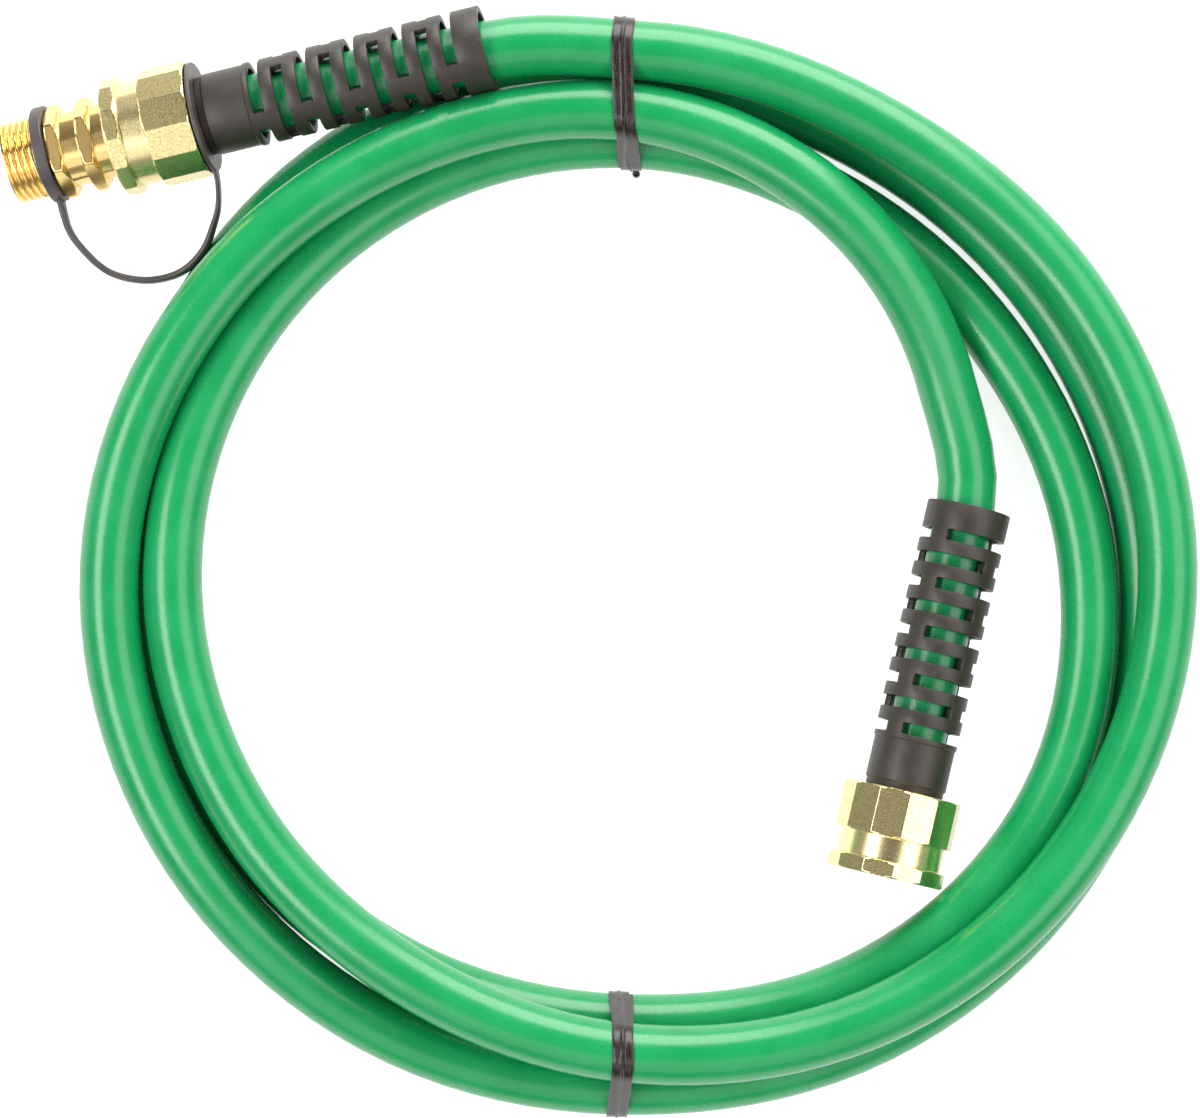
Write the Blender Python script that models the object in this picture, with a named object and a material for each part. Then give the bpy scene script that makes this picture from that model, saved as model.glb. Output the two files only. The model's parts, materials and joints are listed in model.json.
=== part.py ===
"""Short garden leader hose, coiled and tied, with a swivel nut on each end.

A loose double-male adapter is screwed into one of the nuts, and a rubber
tether keeps it with the hose. All sizes are in metres, +Z is up and the
coil lies flat on the plane z = 0. Seen from above, the coil winds
clockwise from the adapter end at its top left to the far end, which lies
inside the coil at its right.
"""

import math

import bmesh
import bpy
from mathutils import Matrix, Vector

# Clearance between neighbouring pieces that touch on the real product
GAP = 0.0003

# Hose tube
HOSE_BORE = 0.0158
HOSE_WALL = 0.0018
HOSE_RADIUS = HOSE_BORE / 2 + HOSE_WALL

# Ties: flat ribbons bound round the coil
TIE_WIDTH = 0.0068
TIE_THICKNESS = 0.0008
TIE_SLACK = 0.0004
TIE_TAIL_WIDTH = 0.0026
TIE_TAIL_THICKNESS = 0.0016
TIE_TAIL_TURNS = 1.25
TIE_TAIL_ROOT = 36.0
TIE_TAIL_ROOT_GAP = 0.0002
TIE_TAIL_OUT = 0.0006
TIE_TAIL_REST = 0.0017
TOP_TIE_CLOCK = -2.0
TOP_TAIL_WAY = -25.0
TOP_TAIL_LENGTH = 0.0054
BOTTOM_TIE_CLOCK = 182.0
BOTTOM_TAIL_WAY = 90.0
BOTTOM_TAIL_LENGTH = 0.0094
TIE_STEPS = 24
TIE_TAIL_STEPS = 10

# Swivel nut, from its open mouth towards the hose
NUT_CORNER_RADIUS = 0.0194
NUT_SIDES = 12
NUT_FLANGE = 0.0051
NUT_BAND = 0.0078
NUT_BAND_RADIUS = 0.0172
NUT_GRIP = 0.0157
NUT_BEVEL = 0.0007
NUT_SOCKET_DEPTH = 0.0169
NUT_SOCKET_RADIUS = 0.0137
NUT_LIP = 0.0035
NUT_LIP_RADIUS = 0.0088
NUT_LENGTH = NUT_FLANGE + NUT_BAND + NUT_GRIP

# Garden-hose thread, 27 mm across its crests
THREAD_RADIUS = 0.0135
THREAD_ROOT_RADIUS = 0.0122
THREAD_PITCH = 0.00221
THREAD_RUN_OUT = 0.0009

# Double-male adapter, from its seat on the washer to its free end
ADAPTER_SHOULDER = 0.0009
ADAPTER_SHOULDER_RADIUS = 0.0141
ADAPTER_REAR_NECK = 0.0045
ADAPTER_HEX = 0.0044
ADAPTER_HEX_FLATS = 0.0272
ADAPTER_HEX_CORNER_RADIUS = 0.0155
ADAPTER_HEX_CHAMFER = 0.0007
ADAPTER_MID_NECK = 0.0061
ADAPTER_NECK_RADIUS = 0.0124
ADAPTER_FREE_THREAD = 0.0106
ADAPTER_BORE_RADIUS = 0.0085

# Tether: a front ring behind the free thread, a rear ring behind the nut
TETHER_FRONT_RING = 0.0038
TETHER_FRONT_RADIUS = 0.0160
TETHER_REAR_RING = 0.0015
TETHER_REAR_RADIUS = 0.0182
TETHER_STRAP_WIDTH = 0.0064
TETHER_STRAP = 0.0023
TETHER_STRAP_REACH = 0.0036
TETHER_STRAP_STEP = 0.0001

# Hollow tail that joins each nut to the hose, and the ferrule crimped on it
TAIL_FLANGE = 0.0022
TAIL_FLANGE_RADIUS = 0.0124
TAIL_BORE_RADIUS = 0.0056
TAIL_BARB_LENGTH = 0.024
TAIL_BARBS = 3
TAIL_BARB_DEPTH = 0.0008
FERRULE_WALL = 0.0010
FERRULE_LENGTH = 0.0245
WASHER = 0.0025
WASHER_HOLE_RADIUS = 0.0078

# Slotted strain-relief sleeve, from the nut towards the hose
SLEEVE_FOOT = 0.0022
SLEEVE_FOOT_RADIUS = 0.0129
SLEEVE_BASE = 0.0156
SLEEVE_BASE_RADIUS = 0.0134
SLEEVE_RING_RADIUS = 0.0138
SLEEVE_BORE_RADIUS = 0.0116
SLEEVE_SLOTS = 9
SLEEVE_SLOT = 0.0038
SLEEVE_LAND = 0.0043
SLEEVE_COLLAR = 0.0090
SLEEVE_BRIDGE = 0.0062
SLEEVE_LENGTH = (SLEEVE_FOOT + SLEEVE_BASE + SLEEVE_SLOTS * SLEEVE_SLOT
                 + (SLEEVE_SLOTS - 1) * SLEEVE_LAND + SLEEVE_COLLAR)

# Sides of the round pieces, and of the hose
ROUND_STEPS = 24
HOSE_SIDES = 12

# Where the coil's middle lies in the frame
COIL_MIDDLE = Vector((0.01386, 0.00025, 0.00006))

# Each coupling: its nut's mouth from the coil's middle, its heading in plan,
# its rise towards the hose, and how far its sleeve and its nut are turned
ADAPTER_END = {"mouth": Vector((-0.1716, 0.1403, 0.01945)), "heading": 12.9,
               "rise": 6.9, "sleeve_turn": 124.0, "nut_turn": 8.0}
FAR_END = {"mouth": Vector((0.0799, -0.1018, 0.0211)), "heading": 76.7,
           "rise": -3.3, "sleeve_turn": 50.0, "nut_turn": 2.0}

# The coil's middle line, as (radius, height) in millimetres at every 30
# degrees of the clock, clockwise from the top, for three turns and 60 degrees
ROUTE_STEP = 30.0
POINT_STEP = 15.0
ROUTE = (
    (167.4, 31.6), (163.4, 29.4), (167.7, 29.0), (171.7, 29.2),
    (169.7, 33.3), (165.0, 35.6), (158.6, 30.6), (153.3, 29.6),
    (152.7, 29.2), (152.5, 26.9), (149.9, 19.9), (145.6, 12.4),
    (140.7, 10.9), (136.9, 10.2), (139.5, 10.2), (147.3, 15.0),
    (154.6, 19.0), (154.7, 18.3), (151.0, 11.3), (153.7, 10.0),
    (159.3, 9.8), (165.6, 9.8), (167.9, 9.8), (165.9, 10.2),
    (161.6, 10.9), (158.2, 10.1), (160.8, 9.8), (167.0, 9.8),
    (173.0, 9.8), (173.5, 10.1), (171.5, 10.9), (174.5, 12.0),
    (175.1, 21.9), (172.8, 28.4), (165.3, 32.3), (155.9, 29.7),
    (147.4, 29.6), (132.5, 31.2), (116.6, 17.8),
)

# How far the hose leans off its coupling's axis at the sleeve's open end
ADAPTER_END_LEAN = Vector((-0.0012, -0.0003))
FAR_END_LEAN = Vector((0.0012, 0.0))

# The tether's strap between its rings: how far along the straight way from
# ring to ring, and how far out and down from it in millimetres
STRAP_PATH = (
    (0.01, 5.4, 1.0), (0.05, 10.9, 2.4), (0.15, 18.8, 4.8), (0.26, 23.4, 6.4), (0.43, 26.5, 7.4),
    (0.60, 26.6, 7.6), (0.73, 24.2, 6.9), (0.84, 19.5, 5.6), (0.91, 13.9, 4.0), (0.97, 7.8, 2.2),
)


def clear_scene():
    """Removes every object that a new file starts with."""
    for item in list(bpy.data.objects):
        bpy.data.objects.remove(item, do_unlink=True)


def material(name, colour, roughness, metallic=0.0):
    """Returns a plain material of one colour."""
    made = bpy.data.materials.new(name)
    made.use_nodes = True
    shader = made.node_tree.nodes["Principled BSDF"]
    shader.inputs["Base Color"].default_value = (*colour, 1.0)
    shader.inputs["Roughness"].default_value = roughness
    shader.inputs["Metallic"].default_value = metallic
    return made


def add_object(name, data, finish, parent=None, turn=0.0, along=0.0):
    """Links an object, turned about and moved along its parent's Z axis."""
    made = bpy.data.objects.new(name, data)
    bpy.context.collection.objects.link(made)
    if finish is not None:
        data.materials.append(finish)
    made.parent = parent
    made.rotation_euler = (0.0, 0.0, math.radians(turn))
    made.location = (0.0, 0.0, along)
    return made


def add_cutter(name, bm, parent, turn=0.0, along=0.0):
    """Makes a hidden tool from a bmesh, for a Boolean modifier."""
    mesh = bpy.data.meshes.new(name)
    bmesh.ops.recalc_face_normals(bm, faces=bm.faces)
    bm.to_mesh(mesh)
    bm.free()
    made = add_object(name, mesh, None, parent, turn, along)
    made.hide_render = True
    made.display_type = "WIRE"
    return made


def combine(target, tool, operation):
    """Adds a Boolean modifier that joins, cuts or trims the target."""
    step = target.modifiers.new(operation.title(), "BOOLEAN")
    step.operation = operation
    step.solver = "EXACT"
    step.object = tool


def turned(name, profile, finish, parent, turn=0.0, along=0.0):
    """Turns a closed outline of (radius, z) about Z.

    The outline runs down its outer side and back up its inner side.
    """
    mesh = bpy.data.meshes.new(name)
    count = len(profile)
    mesh.from_pydata([(radius, 0.0, z) for radius, z in profile],
                     [(i, (i + 1) % count) for i in range(count)], [])
    made = add_object(name, mesh, finish, parent, turn, along)
    screw = made.modifiers.new("Turn", "SCREW")
    screw.axis = "Z"
    screw.angle = math.tau
    screw.steps = ROUND_STEPS
    screw.render_steps = ROUND_STEPS
    screw.use_merge_vertices = True
    screw.merge_threshold = 0.00001
    screw.use_smooth_shade = True
    return made


def prism(sides, corner_radius, bottom, top):
    """Returns a bmesh of an upright prism with a corner on +X."""
    bm = bmesh.new()
    bmesh.ops.create_cone(
        bm, cap_ends=True, segments=sides, radius1=corner_radius,
        radius2=corner_radius, depth=top - bottom,
        matrix=Matrix.Translation((0.0, 0.0, (bottom + top) / 2)))
    return bm


def coupling_frame(name, end):
    """Makes the empty on a coupling's axis: +Z points towards the hose."""
    heading = math.radians(end["heading"])
    rise = math.radians(end["rise"])
    along = Vector((math.cos(heading) * math.cos(rise),
                    math.sin(heading) * math.cos(rise), math.sin(rise)))
    side = Vector((0.0, 0.0, 1.0)).cross(along).normalized()
    above = along.cross(side)
    made = bpy.data.objects.new(name, None)
    bpy.context.collection.objects.link(made)
    turn = Matrix((side, above, along)).transposed().to_4x4()
    made.matrix_world = Matrix.Translation(COIL_MIDDLE + end["mouth"]) @ turn
    return made


# Places along a coupling's axis, from the nut's mouth
TAIL_START = NUT_SOCKET_DEPTH - GAP - TAIL_FLANGE
TAIL_SHOULDER = NUT_SOCKET_DEPTH + NUT_LIP + GAP
HOSE_START = TAIL_SHOULDER + GAP
TAIL_SHANK_RADIUS = NUT_LIP_RADIUS - GAP
BARB_RADIUS = HOSE_BORE / 2 * math.cos(math.pi / HOSE_SIDES) - GAP
FERRULE_BORE_RADIUS = HOSE_RADIUS + GAP
FERRULE_RADIUS = FERRULE_BORE_RADIUS + FERRULE_WALL
NUT_BACK_RADIUS = FERRULE_RADIUS + GAP
WASHER_BACK = TAIL_START - GAP
WASHER_FACE = WASHER_BACK - WASHER
ADAPTER_SEAT = WASHER_FACE - GAP
ADAPTER_BODY = (ADAPTER_SHOULDER + ADAPTER_REAR_NECK + 2 * ADAPTER_HEX
                + ADAPTER_MID_NECK)
FRONT_RING_TOP = -GAP - ADAPTER_BODY - GAP
FREE_THREAD_TOP = FRONT_RING_TOP - TETHER_FRONT_RING - GAP
NECK_HOLE_RADIUS = ADAPTER_NECK_RADIUS + GAP
REAR_RING_BOTTOM = NUT_LENGTH + GAP
SLEEVE_HOLE_RADIUS = FERRULE_RADIUS + GAP


def make_nut(name, finish, frame, turn):
    """Makes a swivel nut: two faceted parts with a round band between."""
    outer = NUT_CORNER_RADIUS
    band = NUT_BAND_RADIUS
    profile = [
        (outer - NUT_BEVEL, NUT_LENGTH),
        (outer, NUT_LENGTH - NUT_BEVEL),
        (outer, NUT_FLANGE + NUT_BAND + NUT_BEVEL),
        (outer - NUT_BEVEL, NUT_FLANGE + NUT_BAND),
        (band, NUT_FLANGE + NUT_BAND),
        (band, NUT_FLANGE),
        (outer - NUT_BEVEL, NUT_FLANGE),
        (outer, NUT_FLANGE - NUT_BEVEL),
        (outer, NUT_BEVEL),
        (outer - NUT_BEVEL, 0.0),
        (NUT_SOCKET_RADIUS + NUT_BEVEL, 0.0),
        (NUT_SOCKET_RADIUS, NUT_BEVEL),
        (NUT_SOCKET_RADIUS, NUT_SOCKET_DEPTH),
        (NUT_LIP_RADIUS, NUT_SOCKET_DEPTH),
        (NUT_LIP_RADIUS, NUT_SOCKET_DEPTH + NUT_LIP),
        (NUT_BACK_RADIUS, NUT_SOCKET_DEPTH + NUT_LIP),
        (NUT_BACK_RADIUS, NUT_LENGTH),
    ]
    made = turned(name, profile, finish, frame, turn)
    bar = prism(NUT_SIDES, NUT_CORNER_RADIUS, -NUT_FLANGE, NUT_LENGTH + NUT_FLANGE)
    combine(made, add_cutter(name + "_bar", bar, frame, turn), "INTERSECT")
    return made


def thread_outline(top, bottom):
    """Returns the crests and roots of a thread, running down its outside."""
    count = int((top - bottom - THREAD_RUN_OUT) / THREAD_PITCH)
    first = top - (top - bottom - count * THREAD_PITCH) / 2
    points = []
    for i in range(count):
        start = first - i * THREAD_PITCH
        points.append((THREAD_ROOT_RADIUS, start - 0.10 * THREAD_PITCH))
        points.append((THREAD_RADIUS, start - 0.40 * THREAD_PITCH))
        points.append((THREAD_RADIUS, start - 0.60 * THREAD_PITCH))
        points.append((THREAD_ROOT_RADIUS, start - 0.90 * THREAD_PITCH))
    return points


def make_adapter(name, finish, frame):
    """Makes the double-male adapter, with a hexagon on each side of its neck."""
    shoulder = -GAP
    neck_1 = shoulder - ADAPTER_SHOULDER
    hex_1 = neck_1 - ADAPTER_REAR_NECK
    hex_2 = hex_1 - ADAPTER_HEX - ADAPTER_MID_NECK
    thread = FREE_THREAD_TOP
    end = thread - ADAPTER_FREE_THREAD
    profile = [(THREAD_ROOT_RADIUS, ADAPTER_SEAT),
               (THREAD_RADIUS, ADAPTER_SEAT - THREAD_PITCH / 2),
               (THREAD_RADIUS, shoulder),
               (ADAPTER_SHOULDER_RADIUS, shoulder),
               (ADAPTER_SHOULDER_RADIUS, neck_1),
               (ADAPTER_NECK_RADIUS, neck_1)]
    for top in (hex_1, hex_2):
        bottom = top - ADAPTER_HEX
        inner = ADAPTER_HEX_CORNER_RADIUS - ADAPTER_HEX_CHAMFER
        profile += [(ADAPTER_NECK_RADIUS, top), (inner, top),
                    (ADAPTER_HEX_CORNER_RADIUS, top - ADAPTER_HEX_CHAMFER),
                    (ADAPTER_HEX_CORNER_RADIUS, bottom + ADAPTER_HEX_CHAMFER),
                    (inner, bottom), (ADAPTER_NECK_RADIUS, bottom)]
    profile += [(ADAPTER_NECK_RADIUS, thread), (THREAD_ROOT_RADIUS, thread)]
    profile += thread_outline(thread, end)
    profile += [(THREAD_ROOT_RADIUS, end), (ADAPTER_BORE_RADIUS, end),
                (ADAPTER_BORE_RADIUS, ADAPTER_SEAT)]
    made = turned(name, profile, finish, frame)
    corner = ADAPTER_HEX_FLATS / math.sqrt(3.0)
    bar = prism(6, corner, end - ADAPTER_HEX, ADAPTER_SEAT + ADAPTER_HEX)
    combine(made, add_cutter(name + "_bar", bar, frame), "INTERSECT")
    return made


def make_washer(name, finish, frame):
    """Makes the flat sealing washer at the bottom of a nut."""
    radius = NUT_SOCKET_RADIUS - 2 * GAP
    profile = [(radius, WASHER_BACK), (radius, WASHER_FACE),
               (WASHER_HOLE_RADIUS, WASHER_FACE), (WASHER_HOLE_RADIUS, WASHER_BACK)]
    return turned(name, profile, finish, frame)


def make_tail(name, finish, frame):
    """Makes the hollow tail: a flange in the nut and barbs in the hose."""
    flange_end = TAIL_START + TAIL_FLANGE
    end = TAIL_SHOULDER + TAIL_BARB_LENGTH
    pitch = TAIL_BARB_LENGTH / TAIL_BARBS
    profile = []
    for i in range(TAIL_BARBS):
        top = end - i * pitch
        profile += [(BARB_RADIUS - TAIL_BARB_DEPTH, top), (BARB_RADIUS, top - 0.8 * pitch)]
    profile += [(BARB_RADIUS, TAIL_SHOULDER), (TAIL_SHANK_RADIUS, TAIL_SHOULDER),
                (TAIL_SHANK_RADIUS, flange_end), (TAIL_FLANGE_RADIUS, flange_end),
                (TAIL_FLANGE_RADIUS, TAIL_START), (TAIL_BORE_RADIUS, TAIL_START),
                (TAIL_BORE_RADIUS, end)]
    return turned(name, profile, finish, frame)


def make_ferrule(name, finish, frame):
    """Makes the ferrule that clamps the hose on the tail."""
    top = HOSE_START + FERRULE_LENGTH
    profile = [(FERRULE_RADIUS, top), (FERRULE_RADIUS, HOSE_START),
               (FERRULE_BORE_RADIUS, HOSE_START), (FERRULE_BORE_RADIUS, top)]
    return turned(name, profile, finish, frame)


def make_sleeve(name, finish, frame, start, turn):
    """Makes a strain-relief sleeve with rows of slots that take turns."""
    base = SLEEVE_FOOT + SLEEVE_BASE
    profile = [
        (SLEEVE_RING_RADIUS, SLEEVE_LENGTH), (SLEEVE_RING_RADIUS, base),
        (SLEEVE_BASE_RADIUS, base - (SLEEVE_RING_RADIUS - SLEEVE_BASE_RADIUS)),
        (SLEEVE_BASE_RADIUS, SLEEVE_FOOT), (SLEEVE_FOOT_RADIUS, SLEEVE_FOOT),
        (SLEEVE_FOOT_RADIUS, 0.0), (SLEEVE_BORE_RADIUS, 0.0),
        (SLEEVE_BORE_RADIUS, SLEEVE_LENGTH),
    ]
    made = turned(name, profile, finish, frame, turn, start)
    reach = 2 * SLEEVE_RING_RADIUS
    depth = reach - SLEEVE_BRIDGE / 2
    bm = bmesh.new()
    for row in range(SLEEVE_SLOTS):
        z = base + row * (SLEEVE_SLOT + SLEEVE_LAND) + SLEEVE_SLOT / 2
        quarter = Matrix.Rotation(math.pi / 2 * (row % 2), 4, "Z")
        for side in (-1.0, 1.0):
            middle = side * (SLEEVE_BRIDGE + depth) / 2
            size = Matrix.Diagonal((2 * reach, depth, SLEEVE_SLOT, 1.0))
            place = Matrix.Translation((0.0, middle, z))
            bmesh.ops.create_cube(bm, size=1.0, matrix=quarter @ place @ size)
    slots = add_cutter(name + "_slots", bm, frame, turn, start)
    combine(made, slots, "DIFFERENCE")
    return made


def smooth_value(values, position):
    """Reads a smooth curve through evenly spaced values."""
    last = len(values) - 1
    i = min(max(int(math.floor(position)), 0), last - 1)
    u = position - i
    before = values[i - 1] if i > 0 else 2 * values[i] - values[i + 1]
    after = values[i + 2] if i + 2 <= last else 2 * values[i + 1] - values[i]
    a, b = values[i], values[i + 1]
    return 0.5 * (2 * a + (b - before) * u + (2 * before - 5 * a + 4 * b - after) * u ** 2
                  + (3 * a - before - 3 * b + after) * u ** 3)


def coil_section(clock):
    """Returns the middle line's (radius, height) at a clock angle."""
    position = clock / ROUTE_STEP
    radius = smooth_value([row[0] for row in ROUTE], position)
    height = smooth_value([row[1] for row in ROUTE], position)
    return radius / 1000, height / 1000


def coil_point(clock):
    """Returns the middle line's place at a clock angle in degrees."""
    radius, height = coil_section(clock)
    angle = math.radians(clock)
    return COIL_MIDDLE + Vector((radius * math.sin(angle), radius * math.cos(angle), height))


def bridge_point(start, start_way, end, end_way):
    """Returns the middle of the smooth bend between two places."""
    reach = (end - start).length
    return (start + end) / 2 + (start_way - end_way) * reach / 8


def coupling_points(frame, open_end, lean):
    """Returns the middle line's points inside a coupling, tail end first."""
    points = []
    for share in (0.0, 0.5, 1.0):
        along = HOSE_START + share * (open_end - HOSE_START)
        off = lean * share ** 3
        points.append(frame.matrix_world @ Vector((off.x, off.y, along)))
    return points


def hose_points(near, near_open, far, far_open):
    """Returns the whole middle line of the hose, from end to end."""
    last = ROUTE_STEP * (len(ROUTE) - 1)
    step = 0.5
    first_lead = coupling_points(near, near_open, ADAPTER_END_LEAN)
    last_lead = coupling_points(far, far_open, FAR_END_LEAN)
    coil = [coil_point(i * POINT_STEP) for i in range(int(last / POINT_STEP) + 1)]
    out_way = (first_lead[-1] - first_lead[-2]).normalized()
    in_way = (last_lead[-2] - last_lead[-1]).normalized()
    start_way = (coil_point(step) - coil_point(0.0)).normalized()
    end_way = (coil_point(last) - coil_point(last - step)).normalized()
    points = list(first_lead)
    points.append(bridge_point(first_lead[-1], out_way, coil[0], start_way))
    points += coil
    points.append(bridge_point(coil[-1], end_way, last_lead[-1], in_way))
    points += reversed(last_lead)
    return points


def make_hose(name, finish, points):
    """Makes the hose: an open tube along its middle line."""
    data = bpy.data.curves.new(name, "CURVE")
    data.dimensions = "3D"
    data.bevel_depth = HOSE_RADIUS
    data.bevel_resolution = (HOSE_SIDES - 4) // 2
    data.use_fill_caps = False
    spline = data.splines.new("POLY")
    spline.points.add(len(points) - 1)
    for point, place in zip(spline.points, points):
        point.co = (*place, 1.0)
    made = add_object(name, data, finish)
    wall = made.modifiers.new("Wall", "SOLIDIFY")
    wall.thickness = HOSE_WALL
    wall.offset = -1.0
    return made


def swept(name, sections, finish):
    """Joins four-cornered sections into one closed bar."""
    bm = bmesh.new()
    rings = [[bm.verts.new(corner) for corner in section] for section in sections]
    for one, two in zip(rings, rings[1:]):
        for i in range(4):
            j = (i + 1) % 4
            bm.faces.new((one[i], one[j], two[j], two[i]))
    bm.faces.new(rings[0])
    bm.faces.new(rings[-1])
    bmesh.ops.recalc_face_normals(bm, faces=bm.faces)
    mesh = bpy.data.meshes.new(name)
    bm.to_mesh(mesh)
    bm.free()
    return add_object(name, mesh, finish)


def strap_places(frame, rings):
    """Returns the strap's middle line, from the first ring's wall to the last's."""
    ends = []
    for top, bottom, radius, hole in rings:
        offs = ((radius + hole) / 2, radius + TETHER_STRAP_REACH)
        ends.append([frame.matrix_world @ Vector((-off, 0.0, (top + bottom) / 2))
                     for off in offs])
    start, finish = ends[0][1], ends[1][1]
    way = finish - start
    out = Vector((way.y, -way.x, 0.0)).normalized()
    down = Vector((0.0, 0.0, -1.0))
    free = [start + way * share + (out * sag + down * drop) / 1000
            for share, sag, drop in STRAP_PATH]
    return [*ends[0], *free, *reversed(ends[1])]


def make_tether(name, finish, frame):
    """Makes the tether: two rings and the strap between them, in one piece."""
    rings = (
        (FRONT_RING_TOP, FRONT_RING_TOP - TETHER_FRONT_RING, TETHER_FRONT_RADIUS,
         NECK_HOLE_RADIUS),
        (REAR_RING_BOTTOM + TETHER_REAR_RING, REAR_RING_BOTTOM, TETHER_REAR_RADIUS,
         SLEEVE_HOLE_RADIUS),
    )
    places = strap_places(frame, rings)
    axis = frame.matrix_world.col[2].to_3d()
    thinnest = TETHER_REAR_RING - 2 * TETHER_STRAP_STEP
    sections = []
    last = len(places) - 1
    for i, place in enumerate(places):
        way = (places[min(i + 1, last)] - places[max(i - 1, 0)]).normalized()
        side = way.cross(Vector((0.0, 0.0, 1.0))).normalized()
        above = side.cross(way).normalized()
        if i < 2 or i > last - 2:
            side, above = axis, frame.matrix_world.col[1].to_3d()
            side = -side if i < 2 else side
        share = min(max(0.0, i - (last - 4)) / 2, 1.0)
        thick = TETHER_STRAP + (thinnest - TETHER_STRAP) * share
        a, b = side * thick / 2, above * TETHER_STRAP_WIDTH / 2
        sections.append((place + a + b, place - a + b, place - a - b, place + a - b))
    made = swept(name, sections, finish)
    for i, (top, bottom, radius, hole) in enumerate(rings):
        profile = [(radius, top), (radius, bottom), (hole, bottom), (hole, top)]
        ring = turned(f"{name}_ring_{i + 1}", profile, None, frame)
        ring.hide_render = True
        ring.display_type = "WIRE"
        combine(made, ring, "UNION")
    return made


def clock_way(clock):
    """Returns the level direction from the coil's middle at a clock angle."""
    angle = math.radians(clock)
    return Vector((math.sin(angle), math.cos(angle), 0.0))


def strand_sections(points, clock):
    """Returns each strand's (radius, height) where it crosses a clock angle."""
    outward = clock_way(clock)
    across = clock_way(clock + 90.0)
    sections = []
    for start, end in zip(points, points[1:]):
        before = (start - COIL_MIDDLE).dot(across)
        after = (end - COIL_MIDDLE).dot(across)
        if before * after < 0.0:
            place = start.lerp(end, before / (before - after)) - COIL_MIDDLE
            if place.dot(outward) > 0.0:
                sections.append(Vector((place.dot(outward), place.z)))
    return sections


def tie_edge(points, clock, spread):
    """Returns the loop of a tie's edge round all strands at a clock angle."""
    centres = strand_sections(points, clock)
    outward = clock_way(clock)
    loop = []
    for i in range(TIE_STEPS):
        angle = math.tau * i / TIE_STEPS
        way = Vector((math.cos(angle), math.sin(angle)))
        widest = max(centres, key=lambda centre: centre.dot(way))
        radius, height = widest + way * (HOSE_RADIUS + TIE_SLACK + spread)
        loop.append(COIL_MIDDLE + outward * radius + Vector((0.0, 0.0, height)))
    return loop


def make_tie(name, finish, points, clock, tail_way, tail_length):
    """Makes a tie: a flat ribbon round the strands and its twisted tail."""
    reach = max(section.x for section in strand_sections(points, clock))
    half = math.degrees(TIE_WIDTH / 2 / reach)
    edges = []
    for side, spread in ((-1, 0.0), (1, 0.0), (1, TIE_THICKNESS), (-1, TIE_THICKNESS)):
        edges.append(tie_edge(points, clock + side * half, spread))
    bm = bmesh.new()
    rings = [[bm.verts.new(place) for place in edge] for edge in edges]
    for i in range(4):
        one, two = rings[i], rings[(i + 1) % 4]
        for j in range(TIE_STEPS):
            k = (j + 1) % TIE_STEPS
            bm.faces.new((one[j], two[j], two[k], one[k]))
    bmesh.ops.recalc_face_normals(bm, faces=bm.faces)
    mesh = bpy.data.meshes.new(name)
    bm.to_mesh(mesh)
    bm.free()
    made = add_object(name, mesh, finish)
    tail = make_tie_tail(name + "_tail", points, clock, tail_way, tail_length)
    combine(made, tail, "UNION")
    return made


def make_tie_tail(name, points, clock, tail_way, tail_length):
    """Makes a tie's twisted end, tucked under the coil's inner strand."""
    inward = -clock_way(clock)
    side = inward.cross(Vector((0.0, 0.0, 1.0)))
    inner = min(strand_sections(points, clock), key=lambda section: section.x)
    root = math.radians(TIE_TAIL_ROOT)
    turn = math.radians(tail_way)
    reach = HOSE_RADIUS + TIE_SLACK + TIE_THICKNESS + TIE_TAIL_ROOT_GAP
    run = (inward * math.cos(turn) + side * math.sin(turn)) * tail_length
    start = COIL_MIDDLE - inward * (inner.x - reach * math.sin(root))
    bend = start + inward * TIE_TAIL_OUT + run * 0.4
    end = start + inward * TIE_TAIL_OUT + run
    start.z += inner.y - reach * math.cos(root)
    bend.z += TIE_TAIL_REST
    end.z += TIE_TAIL_REST
    sections = []
    for i in range(TIE_TAIL_STEPS + 1):
        share = i / TIE_TAIL_STEPS
        place = (start * (1 - share) ** 2 + bend * 2 * share * (1 - share)
                 + end * share ** 2)
        way = ((bend - start) * (1 - share) + (end - bend) * share).normalized()
        level = way.cross(Vector((0.0, 0.0, 1.0))).normalized()
        twist = math.tau * TIE_TAIL_TURNS * share
        across = level * math.cos(twist) + level.cross(way) * math.sin(twist)
        size = min(0.6 + 1.3 * share, 1.0)
        a = across * size * TIE_TAIL_WIDTH / 2
        b = way.cross(across) * size * TIE_TAIL_THICKNESS / 2
        sections.append((place + a + b, place - a + b, place - a - b, place + a - b))
    made = swept(name, sections, None)
    made.hide_render = True
    made.display_type = "WIRE"
    return made


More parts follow.
